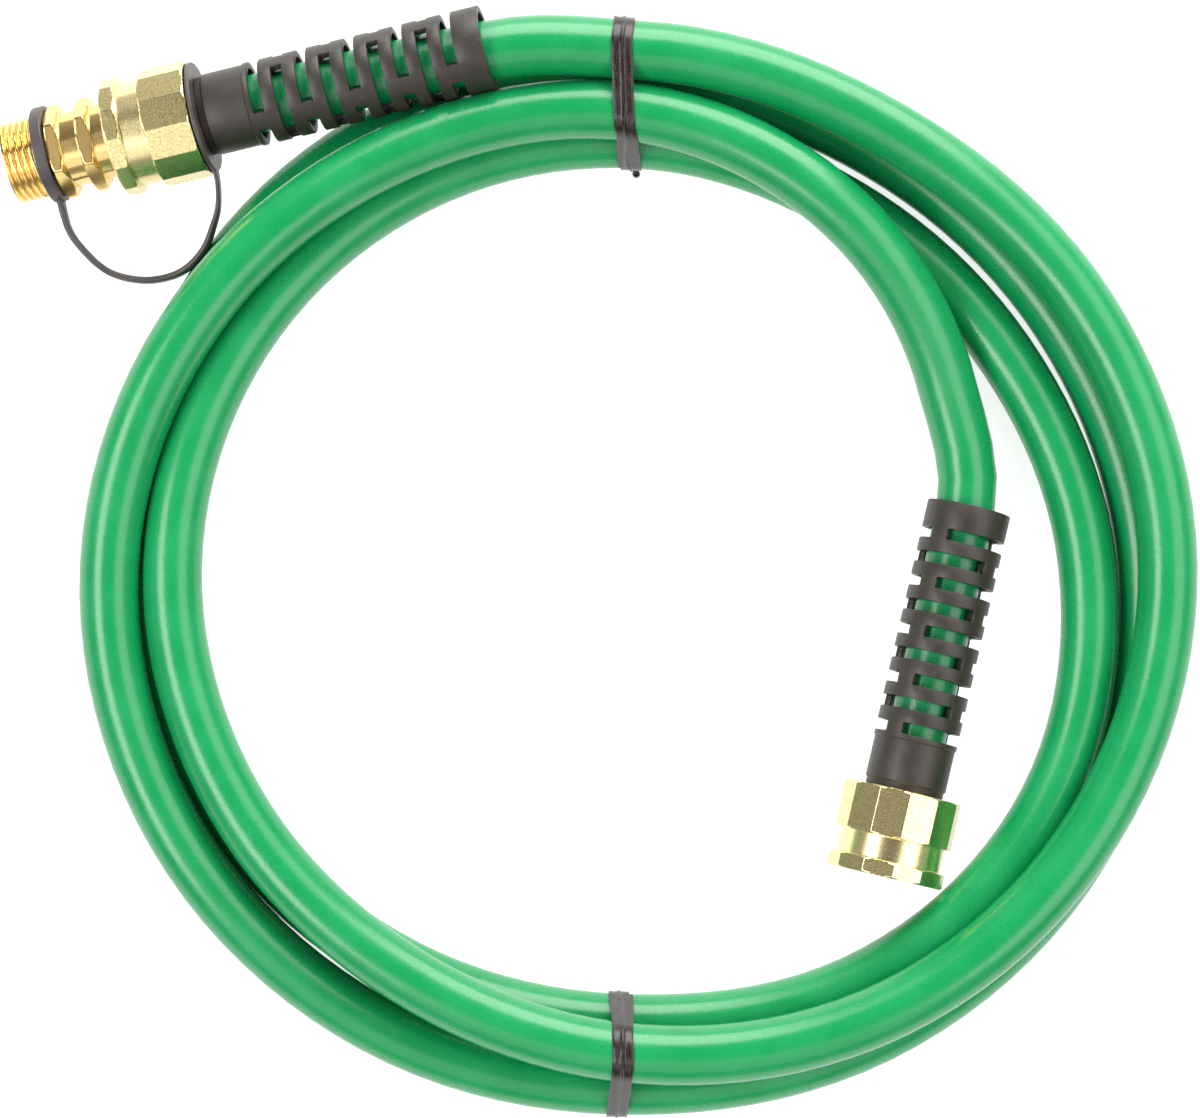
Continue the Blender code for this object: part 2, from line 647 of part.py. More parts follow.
def main():
    """Builds the hose, its two couplings, the adapter, the tether and ties."""
    clear_scene()
    green = material("hose_green", (0.02, 0.42, 0.13), 0.35)
    black = material("sleeve_black", (0.035, 0.03, 0.03), 0.55)
    rubber = material("tether_black", (0.03, 0.025, 0.03), 0.6)
    nut_brass = material("nut_brass", (0.74, 0.66, 0.42), 0.32, 1.0)
    gold_brass = material("adapter_brass", (0.83, 0.62, 0.27), 0.25, 1.0)
    washer_black = material("washer_black", (0.02, 0.02, 0.02), 0.7)

    near = coupling_frame("adapter_end_axis", ADAPTER_END)
    far = coupling_frame("far_end_axis", FAR_END)
    bpy.context.view_layer.update()

    near_sleeve = REAR_RING_BOTTOM + TETHER_REAR_RING + GAP
    far_sleeve = NUT_LENGTH + GAP
    for prefix, frame, end, start in (
            ("adapter_end", near, ADAPTER_END, near_sleeve),
            ("far_end", far, FAR_END, far_sleeve)):
        make_nut(prefix + "_nut", nut_brass, frame, end["nut_turn"])
        make_washer(prefix + "_washer", washer_black, frame)
        make_tail(prefix + "_tail", gold_brass, frame)
        make_ferrule(prefix + "_ferrule", gold_brass, frame)
        make_sleeve(prefix + "_sleeve", black, frame, start, end["sleeve_turn"])

    make_adapter("double_male_adapter", gold_brass, near)
    make_tether("tether", rubber, near)
    points = hose_points(near, near_sleeve + SLEEVE_LENGTH, far, far_sleeve + SLEEVE_LENGTH)
    make_hose("hose", green, points)
    make_tie("top_twist_tie", black, points, TOP_TIE_CLOCK, TOP_TAIL_WAY, TOP_TAIL_LENGTH)
    make_tie("bottom_twist_tie", black, points, BOTTOM_TIE_CLOCK, BOTTOM_TAIL_WAY,
             BOTTOM_TAIL_LENGTH)


main()
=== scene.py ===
"""Looks of a short garden leader hose: coiled, tied, with a coupling on each end.

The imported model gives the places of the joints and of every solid. Each
sub-assembly here is a class that models its pieces round those places and
dresses them. Sizes are in metres, +Z is up and the coil lies on z = 0.
"""

import json
import logging
import math
from dataclasses import dataclass, field
from enum import Enum
from typing import Callable, ClassVar, Optional, Sequence

import bmesh
import bpy
from mathutils import Matrix, Vector


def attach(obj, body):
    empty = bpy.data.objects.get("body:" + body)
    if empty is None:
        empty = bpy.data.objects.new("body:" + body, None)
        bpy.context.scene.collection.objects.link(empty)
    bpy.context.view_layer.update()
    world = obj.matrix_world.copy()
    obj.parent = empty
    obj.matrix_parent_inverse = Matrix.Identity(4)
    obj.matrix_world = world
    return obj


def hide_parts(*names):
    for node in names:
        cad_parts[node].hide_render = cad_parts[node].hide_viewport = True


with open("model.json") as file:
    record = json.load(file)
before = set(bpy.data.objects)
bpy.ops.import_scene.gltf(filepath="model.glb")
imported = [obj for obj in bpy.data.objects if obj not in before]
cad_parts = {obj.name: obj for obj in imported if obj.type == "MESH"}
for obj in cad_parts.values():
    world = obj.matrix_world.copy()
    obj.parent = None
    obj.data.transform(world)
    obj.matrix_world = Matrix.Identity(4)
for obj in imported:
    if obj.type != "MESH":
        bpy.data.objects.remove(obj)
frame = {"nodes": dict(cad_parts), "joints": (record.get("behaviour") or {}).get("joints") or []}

LOG = logging.getLogger("garden_hose")
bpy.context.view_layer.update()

MM = 0.001
# GAP parts pieces that touch, HAIR and NEAR are lengths that count as nothing
GAP = 0.3 * MM
HAIR = 0.1 * MM
MERGE = 1e-6
NEAR = 10 * MERGE
# A straight run in an outline is held flat when it is this many roundings long
LONG_RUN = 2.5
# The sides of a pushed bar's section
SECTION_SIDES = 20
UP = Vector((0.0, 0.0, 1.0))
WHITE = (1.0, 1.0, 1.0, 1.0)

Outline = list[tuple[float, float]]
Triple = tuple[float, float, float]
Colour = Triple


class Body(Enum):
    """The moving bodies that pieces ride on."""

    HOSE = "hose_body"
    ADAPTER_END = "adapter_end_swivel"
    FAR_END = "far_end_swivel"


class Slot(Enum):
    """The record's material slots named for the modelled pieces; hand_in is given one but doesn't
    use it.
    """

    HOSE = "hose"
    NUT = "nut"
    ADAPTER = "adapter"
    SLEEVE = "sleeve"
    TETHER = "tether"
    TIE = "tie"


# Modelling helpers


def take(piece: bpy.types.Object) -> None:
    """Leaves edit mode and makes one object the only chosen one.

    Args:
        piece: the object to choose.
    """
    put_down()
    piece.select_set(True)
    bpy.context.view_layer.objects.active = piece


def put_down() -> None:
    """Leaves edit mode and chooses nothing."""
    active = bpy.context.view_layer.objects.active
    if active is not None and active.mode != "OBJECT":
        bpy.ops.object.mode_set(mode="OBJECT")
    bpy.ops.object.select_all(action="DESELECT")


def open_mesh(piece: bpy.types.Object, elements: str = "VERT") -> None:
    """Opens a piece for editing, with nothing chosen.

    Args:
        piece: the mesh object.
        elements: which elements are chosen by: VERT, EDGE or FACE.
    """
    take(piece)
    bpy.ops.object.mode_set(mode="EDIT")
    bpy.ops.mesh.select_mode(type=elements)
    bpy.ops.mesh.select_all(action="DESELECT")


def choose_faces(piece: bpy.types.Object, test: Callable[[Vector], bool]) -> None:
    """Chooses the faces of an opened piece that pass a test.

    Args:
        piece: the object in edit mode.
        test: told each face's middle.
    """
    work = bmesh.from_edit_mesh(piece.data)
    for face in work.faces:
        face.select_set(test(face.calc_center_median()))
    bmesh.update_edit_mesh(piece.data)


def choose_corners(piece: bpy.types.Object, test: Callable[[Vector], bool]) -> None:
    """Chooses the vertices of an opened piece that pass a test.

    Args:
        piece: the object in edit mode.
        test: told each vertex's place.
    """
    work = bmesh.from_edit_mesh(piece.data)
    for vertex in work.verts:
        vertex.select_set(test(vertex.co))
    work.select_flush_mode()
    bmesh.update_edit_mesh(piece.data)


def press(piece: bpy.types.Object, kind: str, **settings: object) -> None:
    """Adds a modifier to a piece and applies it.

    Args:
        piece: the mesh object.
        kind: the modifier's type.
        settings: its values.
    """
    take(piece)
    step = piece.modifiers.new(kind.title(), kind)
    for key, value in settings.items():
        setattr(step, key, value)
    bpy.ops.object.modifier_apply(modifier=step.name)


def soften(piece: bpy.types.Object, degrees: float) -> None:
    """Shades a piece smooth, with sharp edges past an angle.

    Args:
        piece: the mesh object.
        degrees: the angle.
    """
    take(piece)
    bpy.ops.object.shade_smooth_by_angle(angle=math.radians(degrees))


def tidy(piece: bpy.types.Object) -> None:
    """Merges a piece's doubles and turns its faces outwards.

    Args:
        piece: the mesh object.
    """
    open_mesh(piece)
    bpy.ops.mesh.select_all(action="SELECT")
    bpy.ops.mesh.remove_doubles(threshold=MERGE)
    bpy.ops.mesh.normals_make_consistent(inside=False)
    put_down()


def unite(piece: bpy.types.Object, other: bpy.types.Object) -> None:
    """Joins another solid to a piece and removes it.

    Args:
        piece: the mesh object that grows.
        other: the solid that goes into it.
    """
    press(piece, "BOOLEAN", operation="UNION", solver="EXACT", object=other)
    bpy.data.objects.remove(other)


def move_mesh(piece: bpy.types.Object, *steps: Matrix) -> None:
    """Moves a piece's mesh by one step after another.

    Args:
        piece: the mesh object, which stays at the origin itself.
        steps: the moves and turns.
    """
    for step in steps:
        piece.data.transform(step)


def off_axis(place: Vector) -> float:
    """Returns how far a place is from the Z axis."""
    return math.hypot(place.x, place.y)


def rounded(place: Vector) -> Triple:
    """Returns a place to the micrometre, so that it can be looked up."""
    return tuple(round(value, 6) for value in place)


def clamped(value: float) -> float:
    """Returns a value held between 0 and 1."""
    return min(max(value, 0.0), 1.0)


def slow_ended(share: float) -> float:
    """Returns a share, from 0 to 1, that starts and stops slowly."""
    return share * (share * (3.0 - 2.0 * share))


def bent(start: Vector, corner: Vector, end: Vector, share: float) -> Vector:
    """Returns a place on the bend that rounds a corner."""
    return start * (1 - share) ** 2 + corner * 2 * share * (1 - share) + end * share ** 2


def flow_through(values: Sequence, i: int, share: float) -> object:
    """Reads a smooth curve through a row of values.

    Args:
        values: numbers or places.
        i: the value that the wanted one comes after.
        share: how far it is from there to the next value, from 0 to 1.

    Returns:
        The number or place.
    """
    a, b = values[i], values[i + 1]
    before = values[i - 1] if i > 0 else 2 * a - b
    after = values[i + 2] if i + 2 < len(values) else 2 * b - a
    return 0.5 * (2 * a + (b - before) * share + (2 * before - 5 * a + 4 * b - after) * share ** 2
                  + (3 * a - before - 3 * b + after) * share ** 3)


def smooth_path(points: Sequence[Vector], steps: int) -> list[Vector]:
    """Returns a smooth line through points.

    Args:
        points: the places that the line goes through.
        steps: how many spans there are between two of them.

    Returns:
        The line's places.
    """
    path = [flow_through(points, i, k / steps)
            for i in range(len(points) - 1) for k in range(steps)]
    return [*path, points[-1]]


def eased(corners: Sequence[tuple[float, float, float]], steps: int = 3,
          hold: float = 0.2 * MM) -> Outline:
    """Rounds the corners of a closed outline.

    Args:
        corners: (radius, z, rounding) of each corner in turn.
        steps: how many spans a rounded corner has.
        hold: how far past a rounding a long straight run is held flat.

    Returns:
        The outline's points.
    """
    points: Outline = []
    for i, (radius, z, rounding) in enumerate(corners):
        if rounding <= 0.0:
            points.append((radius, z))
            continue
        here = Vector((radius, z))
        back = Vector(corners[i - 1][:2]) - here
        ahead = Vector(corners[(i + 1) % len(corners)][:2]) - here
        start, end = here + back.normalized() * rounding, here + ahead.normalized() * rounding
        places = [bent(start, here, end, k / steps) for k in range(steps + 1)]
        if back.length > LONG_RUN * (rounding + hold):
            places.insert(0, start + back.normalized() * hold)
        if ahead.length > LONG_RUN * (rounding + hold):
            places.append(end + ahead.normalized() * hold)
        points += [(place.x, place.y) for place in places]
    return points


def spliced(outline: Outline, after: tuple[float, float], rows: Outline) -> Outline:
    """Puts more points into an outline.

    Args:
        outline: the outline's points.
        after: the point that the new ones come after.
        rows: the new points.

    Returns:
        The longer outline.
    """
    cut_at = outline.index(after) + 1
    return [*outline[:cut_at], *rows, *outline[cut_at:]]


def turned(name: str, outline: Outline, steps: int) -> bpy.types.Object:
    """Spins a closed outline of (radius, z) about Z.

    Args:
        name: the new object's name.
        outline: the points, each joined to the next and the last to the first.
        steps: how many steps make the full turn.

    Returns:
        The turned solid.
    """
    put_down()
    bpy.ops.mesh.primitive_plane_add(size=MM)
    piece = bpy.context.object
    piece.name = name
    bpy.ops.object.mode_set(mode="EDIT")
    bpy.ops.mesh.merge(type="CENTER")
    radius, z = outline[0]
    bpy.ops.transform.translate(value=(radius, 0.0, z))
    for (r_1, z_1), (r_2, z_2) in zip(outline, [*outline[1:], outline[0]]):
        bpy.ops.mesh.extrude_region_move(
            TRANSFORM_OT_translate={"value": (r_2 - r_1, 0.0, z_2 - z_1)})
    bpy.ops.mesh.select_all(action="SELECT")
    bpy.ops.mesh.remove_doubles(threshold=MERGE)
    bpy.ops.mesh.spin(steps=steps, angle=math.tau, center=(0, 0, 0), axis=(0, 0, 1))
    put_down()
    tidy(piece)
    return piece


def gather(piece: bpy.types.Object, sides: int, shares: Sequence[float],
           test: Callable[[float, float], bool]) -> None:
    """Gathers a turned piece's columns at the corners of a polygon.

    Args:
        piece: the turned object, with an even number of columns to a side.
        sides: the polygon's sides, with a corner on +X.
        shares: where the columns go, as shares from a corner to a side's middle.
        test: told each vertex's radius and z, says whether it is gathered.
    """
    half = math.pi / sides
    spans = len(shares) - 1
    for vertex in piece.data.vertices:
        x, y, z = vertex.co
        radius, angle = math.hypot(x, y), math.atan2(y, x)
        if not test(radius, z):
            continue
        nearest = round(angle / (2 * half)) * 2 * half
        off = (angle - nearest) / half
        share = shares[min(round(abs(off) * spans), spans)]
        angle = nearest + math.copysign(share * half, off)
        vertex.co.x, vertex.co.y = radius * math.cos(angle), radius * math.sin(angle)


def pushed(name: str, sections: Sequence[tuple[Vector, Vector, Vector]],
           power: float) -> bpy.types.Object:
    """Pushes a bar's section along its middle line.

    Args:
        name: the new object's name.
        sections: each section's middle, half thickness and half width.
        power: how round the section's corners are, up to 1 for an ellipse.

    Returns:
        The closed bar.
    """
    put_down()
    bpy.ops.mesh.primitive_circle_add(vertices=SECTION_SIDES, radius=1.0, fill_type="NGON")
    piece = bpy.context.object
    piece.name = name
    bpy.ops.object.mode_set(mode="EDIT")
    for _ in sections[1:]:
        bpy.ops.mesh.extrude_region_move(TRANSFORM_OT_translate={"value": (0.0, 0.0, 1.0)})
    put_down()
    for vertex in piece.data.vertices:
        angle = math.atan2(vertex.co.y, vertex.co.x)
        place, half_thick, half_wide = sections[round(vertex.co.z)]
        c, s = math.cos(angle), math.sin(angle)
        flatness = half_thick.length / half_wide.length
        x = math.copysign(abs(c) ** (2 * flatness if flatness < 0.5 else power), c)
        y = math.copysign(abs(s) ** power, s)
        vertex.co = place + half_thick * x + half_wide * y
    tidy(piece)
    return piece


def mill(piece: bpy.types.Object, sides: int, flat: float, rounding: float,
         low: float, high: float) -> None:
    """Mills flats into a turned piece.

    Args:
        piece: the turned object.
        sides: how many flats there are, with a corner on +X.
        flat: the distance from the axis to a flat.
        rounding: the radius of the corners between the flats.
        low: where the flats start along Z.
        high: where they end.
    """
    half = math.pi / sides
    middle = (flat - rounding) / math.cos(half)
    tangent = math.atan2(middle * math.sin(half), flat)
    for vertex in piece.data.vertices:
        x, y, z = vertex.co
        if not low <= z <= high:
            continue
        radius, angle = math.hypot(x, y), math.atan2(y, x)
        off = abs((angle + half) % (2 * half) - half)
        limit = flat / math.cos(half - off)
        if half - off > tangent:
            rise = rounding ** 2 - (middle * math.sin(off)) ** 2
            limit = middle * math.cos(off) + math.sqrt(max(rise, 0.0))
        if radius > limit:
            vertex.co.x *= limit / radius
            vertex.co.y *= limit / radius


def mark_faces(piece: bpy.types.Object, name: str,
               test: Callable[[Vector, Vector], bool]) -> None:
    """Marks faces for the finish, with 1 where a test holds and 0 elsewhere.

    Args:
        piece: the mesh object, about its own Z.
        name: the attribute's name.
        test: told each face's middle and normal.
    """
    mark = piece.data.attributes.new(name, "FLOAT", "FACE")
    for face in piece.data.polygons:
        mark.data[face.index].value = float(test(face.center, face.normal))


def mark_height(piece: bpy.types.Object) -> None:
    """Keeps each vertex's place along its own Z for the finish, in millimetres.

    Args:
        piece: the mesh object, about its own Z.
    """
    mark = piece.data.attributes.new("along", "FLOAT", "POINT")
    for vertex in piece.data.vertices:
        mark.data[vertex.index].value = vertex.co.z / MM


@dataclass(frozen=True)
class Thread:
    """A helical garden-hose thread.

    Attributes:
        crest: radius of its crests.
        root: radius of its roots.
        low: where it starts along Z.
        high: where it ends.
        pitch: the distance between crests.
        rows: how many rows of vertices there are to a pitch.
        groove: the groove's share of the pitch.
        bottom: how much of the groove's half width is flat.
        run_out: how much of a pitch the thread takes to fade out at each end.
    """

    crest: float
    root: float
    low: float
    high: float
    pitch: float = 2.21 * MM
    rows: int = 24
    groove: float = 0.62
    bottom: float = 0.28
    run_out: float = 0.45

    def outline(self, down: bool) -> Outline:
        """Returns the rows where the thread is cut, on its crest radius.

        Args:
            down: whether the rows run downwards.

        Returns:
            The rows as points of an outline.
        """
        span = self.high - self.low
        count = round(span / self.pitch * self.rows)
        points = [(self.crest, self.low + span * i / count) for i in range(1, count)]
        return points[::-1] if down else points

    def depth(self, z: float, angle: float) -> float:
        """Returns how deep the groove is at a place.

        Args:
            z: the place along the axis.
            angle: the place round the axis, in radians.

        Returns:
            The depth, from 0 on a crest to 1 in a root.
        """
        phase = (z / self.pitch - angle / math.tau) % 1.0
        rise = slow_ended(clamped(abs(phase - 0.5) * 2 / self.groove - self.bottom))
        ends = min(z - self.low, self.high - z) / (self.run_out * self.pitch)
        return (1.0 - rise) * clamped(ends)

    def cut(self, piece: bpy.types.Object) -> None:
        """Cuts the thread into the rows of a turned piece.

        Args:
            piece: the turned object, with the rows of this thread's outline.
        """
        for vertex in piece.data.vertices:
            x, y, z = vertex.co
            radius = math.hypot(x, y)
            if abs(radius - self.crest) > NEAR or not self.low < z < self.high:
                continue
            depth = self.depth(z, math.atan2(y, x))
            new = self.crest + (self.root - self.crest) * depth
            vertex.co.x *= new / radius
            vertex.co.y *= new / radius


# Finishes


class Nodes:
    """Lays out a material's or a group's nodes."""

    def __init__(self, tree: bpy.types.NodeTree) -> None:
        """Starts on a node tree.

        Args:
            tree: the tree that the nodes go into.
        """
        self.tree = tree

    def add(self, kind: str, values: Optional[dict] = None, **settings: object) -> bpy.types.Node:
        """Adds a node.

        Args:
            kind: the node's type.
            values: its inputs, as constants or as sockets to link from.
            settings: its own properties.

        Returns:
            The node.
        """
        node = self.tree.nodes.new(kind)
        for key, value in settings.items():
            setattr(node, key, value)
        for key, value in (values or {}).items():
            if isinstance(value, bpy.types.NodeSocket):
                self.tree.links.new(value, node.inputs[key])
            else:
                node.inputs[key].default_value = value
        return node

    def noise(self, place: bpy.types.NodeSocket, scale: float, detail: float = 2.0,
              roughness: float = 0.5) -> bpy.types.NodeSocket:
        """Adds noise.

        Args:
            place: where it is read.
            scale: how fine it is.
            detail: how many finer layers it has.
            roughness: how strong those are.

        Returns:
            The noise value's socket.
        """
        node = self.add("ShaderNodeTexNoise", {"Vector": place, "Scale": scale,
                                               "Detail": detail, "Roughness": roughness})
        return node.outputs["Fac"]

    def mark(self, name: str) -> bpy.types.NodeSocket:
        """Returns the value of a mark on the mesh."""
        node = self.add("ShaderNodeAttribute", attribute_name=name, attribute_type="GEOMETRY")
        return node.outputs["Fac"]

    def math(self, kind: str, a: object, b: object = 0.0) -> bpy.types.NodeSocket:
        """Returns the result of one sum."""
        return self.add("ShaderNodeMath", {0: a, 1: b}, operation=kind).outputs[0]

    def spread(self, value: bpy.types.NodeSocket, low: float, high: float,
               to_low: float = 0.0, to_high: float = 1.0) -> bpy.types.NodeSocket:
        """Stretches a value from one range to another, and clamps it.

        Args:
            value: the value.
            low: the start of its range.
            high: the end of its range.
            to_low: the start of the new range.
            to_high: the end of the new range.

        Returns:
            The new value's socket.
        """
        node = self.add("ShaderNodeMapRange", {"Value": value, "From Min": low, "From Max": high,
                                               "To Min": to_low, "To Max": to_high})
        return node.outputs["Result"]

    def stretch(self, place: bpy.types.NodeSocket, scale: Triple) -> bpy.types.NodeSocket:
        """Returns a place scaled along its own axes."""
        node = self.add("ShaderNodeMapping", {"Vector": place, "Scale": scale})
        return node.outputs["Vector"]

    def blend(self, share: object, one: object, two: object) -> bpy.types.NodeSocket:
        """Mixes two colours.

        Args:
            share: the second colour's share, as a constant or a socket.
            one: the first colour, or its socket.
            two: the second colour, or its socket.

        Returns:
            The mixed colour's socket.
        """
        node = self.add("ShaderNodeMix", {"Factor": share}, data_type="RGBA")
        for name, value in (("A", one), ("B", two)):
            socket = next(s for s in node.inputs if s.name == name and s.type == "RGBA")
            if isinstance(value, bpy.types.NodeSocket):
                self.tree.links.new(value, socket)
            else:
                socket.default_value = (*value, 1.0)
        return next(s for s in node.outputs if s.type == "RGBA")


def effect_group(name: str, inputs: Sequence[tuple[str, str, object]],
                 outputs: Sequence[str]) -> tuple[bpy.types.NodeTree, Nodes]:
    """Makes an empty shader group with named sockets.

    Args:
        name: the group's name.
        inputs: each input's name, socket type and starting value.
        outputs: the names of its value outputs.

    Returns:
        The group and the layer of nodes in it.
    """
    group = bpy.data.node_groups.new(name, "ShaderNodeTree")
    for label, kind, value in inputs:
        socket = group.interface.new_socket(label, in_out="INPUT", socket_type=kind)
        if value is not None:
            socket.default_value = value
    for label in outputs:
        group.interface.new_socket(label, in_out="OUTPUT", socket_type="NodeSocketFloat")
    return group, Nodes(group)


def grain_group() -> bpy.types.NodeTree:
    """Makes the effect that gives a moulded or cast surface its fine grain.

    Returns:
        The group.
    """
    group, nodes = effect_group(
        "fine_grain",
        [("Vector", "NodeSocketVector", None), ("Scale", "NodeSocketFloat", 800.0),
         ("Coarse", "NodeSocketFloat", 90.0)],
        ["Height", "Tone"])
    enter = nodes.add("NodeGroupInput")
    fine = nodes.add("ShaderNodeTexNoise", {"Vector": enter.outputs["Vector"],
                                            "Scale": enter.outputs["Scale"], "Detail": 3.0})
    broad = nodes.add("ShaderNodeTexNoise", {"Vector": enter.outputs["Vector"],
                                             "Scale": enter.outputs["Coarse"], "Detail": 2.0})
    both = nodes.math("ADD", nodes.math("MULTIPLY", fine.outputs["Fac"], 0.7),
                      nodes.math("MULTIPLY", broad.outputs["Fac"], 0.3))
    tone = nodes.spread(broad.outputs["Fac"], 0.32, 0.68)
    nodes.add("NodeGroupOutput", {"Height": both, "Tone": tone})
    return group


def marks_group() -> bpy.types.NodeTree:
    """Makes the effect that scatters small specks and short scuffs.

    Returns:
        The group.
    """
    group, nodes = effect_group(
        "small_marks",
        [("Vector", "NodeSocketVector", None), ("Scale", "NodeSocketFloat", 160.0),
         ("Share", "NodeSocketFloat", 0.05)],
        ["Mask"])
    enter = nodes.add("NodeGroupInput")
    cells = nodes.add("ShaderNodeTexVoronoi", {"Vector": enter.outputs["Vector"],
                                               "Scale": enter.outputs["Scale"]})
    chance = nodes.add("ShaderNodeSeparateColor", {0: cells.outputs["Color"]})
    chosen = nodes.math("LESS_THAN", chance.outputs[0], enter.outputs["Share"])
    near = nodes.spread(cells.outputs["Distance"], 0.12, 0.3, 1.0, 0.0)
    nodes.add("NodeGroupOutput", {"Mask": nodes.math("MULTIPLY", chosen, near)})
    return group


class Effects:
    """The shader groups that more than one finish uses, each made once."""

    made: ClassVar[dict[str, bpy.types.NodeTree]] = {}

    @classmethod
    def group(cls, maker: Callable[[], bpy.types.NodeTree]) -> bpy.types.NodeTree:
        """Makes a group the first time it is asked for.

        Args:
            maker: the function that makes the group.

        Returns:
            The group.
        """
        if maker.__name__ not in cls.made:
            cls.made[maker.__name__] = maker()
        return cls.made[maker.__name__]

    @classmethod
    def use(cls, nodes: Nodes, maker: Callable[[], bpy.types.NodeTree],
            values: dict) -> bpy.types.Node:
        """Places a group in a material.

        Args:
            nodes: the material's nodes.
            maker: the function that makes the group.
            values: the group's inputs.

        Returns:
            The group's node.
        """
        return nodes.add("ShaderNodeGroup", values, node_tree=cls.group(maker))


def new_finish(name: str, **settings: object) -> tuple[bpy.types.Material, Nodes, bpy.types.Node]:
    """Starts a finish on a Principled shader.

    Args:
        name: the material's name.
        settings: constants for the shader's sockets, with _ for each space.

    Returns:
        The material, its nodes and the shader's node.
    """
    made = bpy.data.materials.new(name)
    made.use_nodes = True
    nodes = Nodes(made.node_tree)
    shader = made.node_tree.nodes["Principled BSDF"]
    for key, value in settings.items():
        shader.inputs[key.replace("_", " ")].default_value = value
    return made, nodes, shader


def join(nodes: Nodes, value: bpy.types.NodeSocket, shader: bpy.types.Node, name: str) -> None:
    """Links a value to one of a shader's sockets."""
    nodes.tree.links.new(value, shader.inputs[name])


def bump(nodes: Nodes, height: bpy.types.NodeSocket, shader: bpy.types.Node,
         strength: float, distance: float) -> None:
    """Raises a shader's surface by a height.

    Args:
        nodes: the material's nodes.
        height: the height's socket.
        shader: the shader's node.
        strength: how much of the height is felt.
        distance: the height's full reach, in metres.
    """
    node = nodes.add("ShaderNodeBump", {"Height": height, "Strength": strength,
                                        "Distance": distance})
    join(nodes, node.outputs["Normal"], shader, "Normal")


@dataclass(frozen=True)
class HoseVinyl:
    """Extruded green vinyl: satin, with faint lines along the tube.

    Attributes:
        deep: the colour in the low spots.
        light: the colour on the high spots.
        fleck: the colour of the few small flecks.
        roughness: the middle of its roughness.
        lines: how often the lines change along a metre, and round the tube.
        relief: the height of lines and grain.
    """

    deep: Colour = (0.001, 0.206, 0.055)
    light: Colour = (0.006, 0.236, 0.072)
    fleck: Colour = (0.0, 0.16, 0.05)
    roughness: float = 0.25
    lines: tuple[float, float] = (3.0, 260.0)
    relief: float = 0.016 * MM

    def make(self) -> bpy.types.Material:
        """Makes the finish, whose lines follow the tube's own UV map.

        Returns:
            The material.
        """
        made, nodes, shader = new_finish("hose_vinyl", IOR=1.5)
        map_node = nodes.add("ShaderNodeUVMap", uv_map="tube")
        place = nodes.add("ShaderNodeTexCoord").outputs["Object"]
        along = nodes.stretch(map_node.outputs["UV"], (*self.lines, 1.0))
        lines = nodes.noise(along, 1.0, 3.0)
        grain = Effects.use(nodes, grain_group, {"Vector": place, "Scale": 1500.0,
                                                 "Coarse": 60.0})
        specks = Effects.use(nodes, marks_group, {"Vector": place, "Scale": 120.0,
                                                  "Share": 0.012})
        tone = nodes.math("ADD", nodes.math("MULTIPLY", grain.outputs["Tone"], 0.7),
                          nodes.math("MULTIPLY", lines, 0.3))
        colour = nodes.blend(tone, self.deep, self.light)
        join(nodes, nodes.blend(nodes.math("MULTIPLY", specks.outputs["Mask"], 0.35),
                                colour, self.fleck), shader, "Base Color")
        rough = nodes.spread(grain.outputs["Height"], 0.35, 0.65,
                             self.roughness - 0.05, self.roughness + 0.07)
        join(nodes, rough, shader, "Roughness")
        height = nodes.math("ADD", nodes.math("MULTIPLY", lines, 0.45), grain.outputs["Height"])
        bump(nodes, height, shader, 0.25, self.relief)
        return made


@dataclass(frozen=True)
class Plastic:
    """Moulded plastic or rubber with a fine satin grain and pale scuffs.

    Attributes:
        name: the material's name.
        colour: the colour in the low spots.
        pale: the colour on the high spots.
        roughness: the middle of its roughness.
        grain: how fine the grain is.
        relief: the height of the grain.
        marks: the share of the surface's cells that have a scuff.
        scuff: how many times paler than pale a scuff is.
    """

    name: str
    colour: Colour
    pale: Colour
    roughness: float
    grain: float = 900.0
    relief: float = 0.012 * MM
    marks: float = 0.03
    scuff: float = 2.2

    def make(self) -> bpy.types.Material:
        """Makes the finish.

        Returns:
            The material.
        """
        made, nodes, shader = new_finish(self.name, IOR=1.48)
        place = nodes.add("ShaderNodeTexCoord").outputs["Object"]
        grain = Effects.use(nodes, grain_group, {"Vector": place, "Scale": self.grain,
                                                 "Coarse": 120.0})
        marks = Effects.use(nodes, marks_group, {"Vector": nodes.stretch(place, (1.0, 1.6, 0.7)),
                                                 "Scale": 210.0, "Share": self.marks})
        tone = nodes.math("MULTIPLY", grain.outputs["Tone"], 0.55)
        colour = nodes.blend(tone, self.colour, self.pale)
        scuffed = nodes.blend(nodes.math("MULTIPLY", marks.outputs["Mask"], 0.3),
                              colour, tuple(min(self.scuff * c, 1.0) for c in self.pale))
        join(nodes, scuffed, shader, "Base Color")
        rough = nodes.spread(grain.outputs["Height"], 0.3, 0.7,
                             self.roughness - 0.06, self.roughness + 0.08)
        join(nodes, rough, shader, "Roughness")
        bump(nodes, grain.outputs["Height"], shader, 0.5, self.relief)
        return made


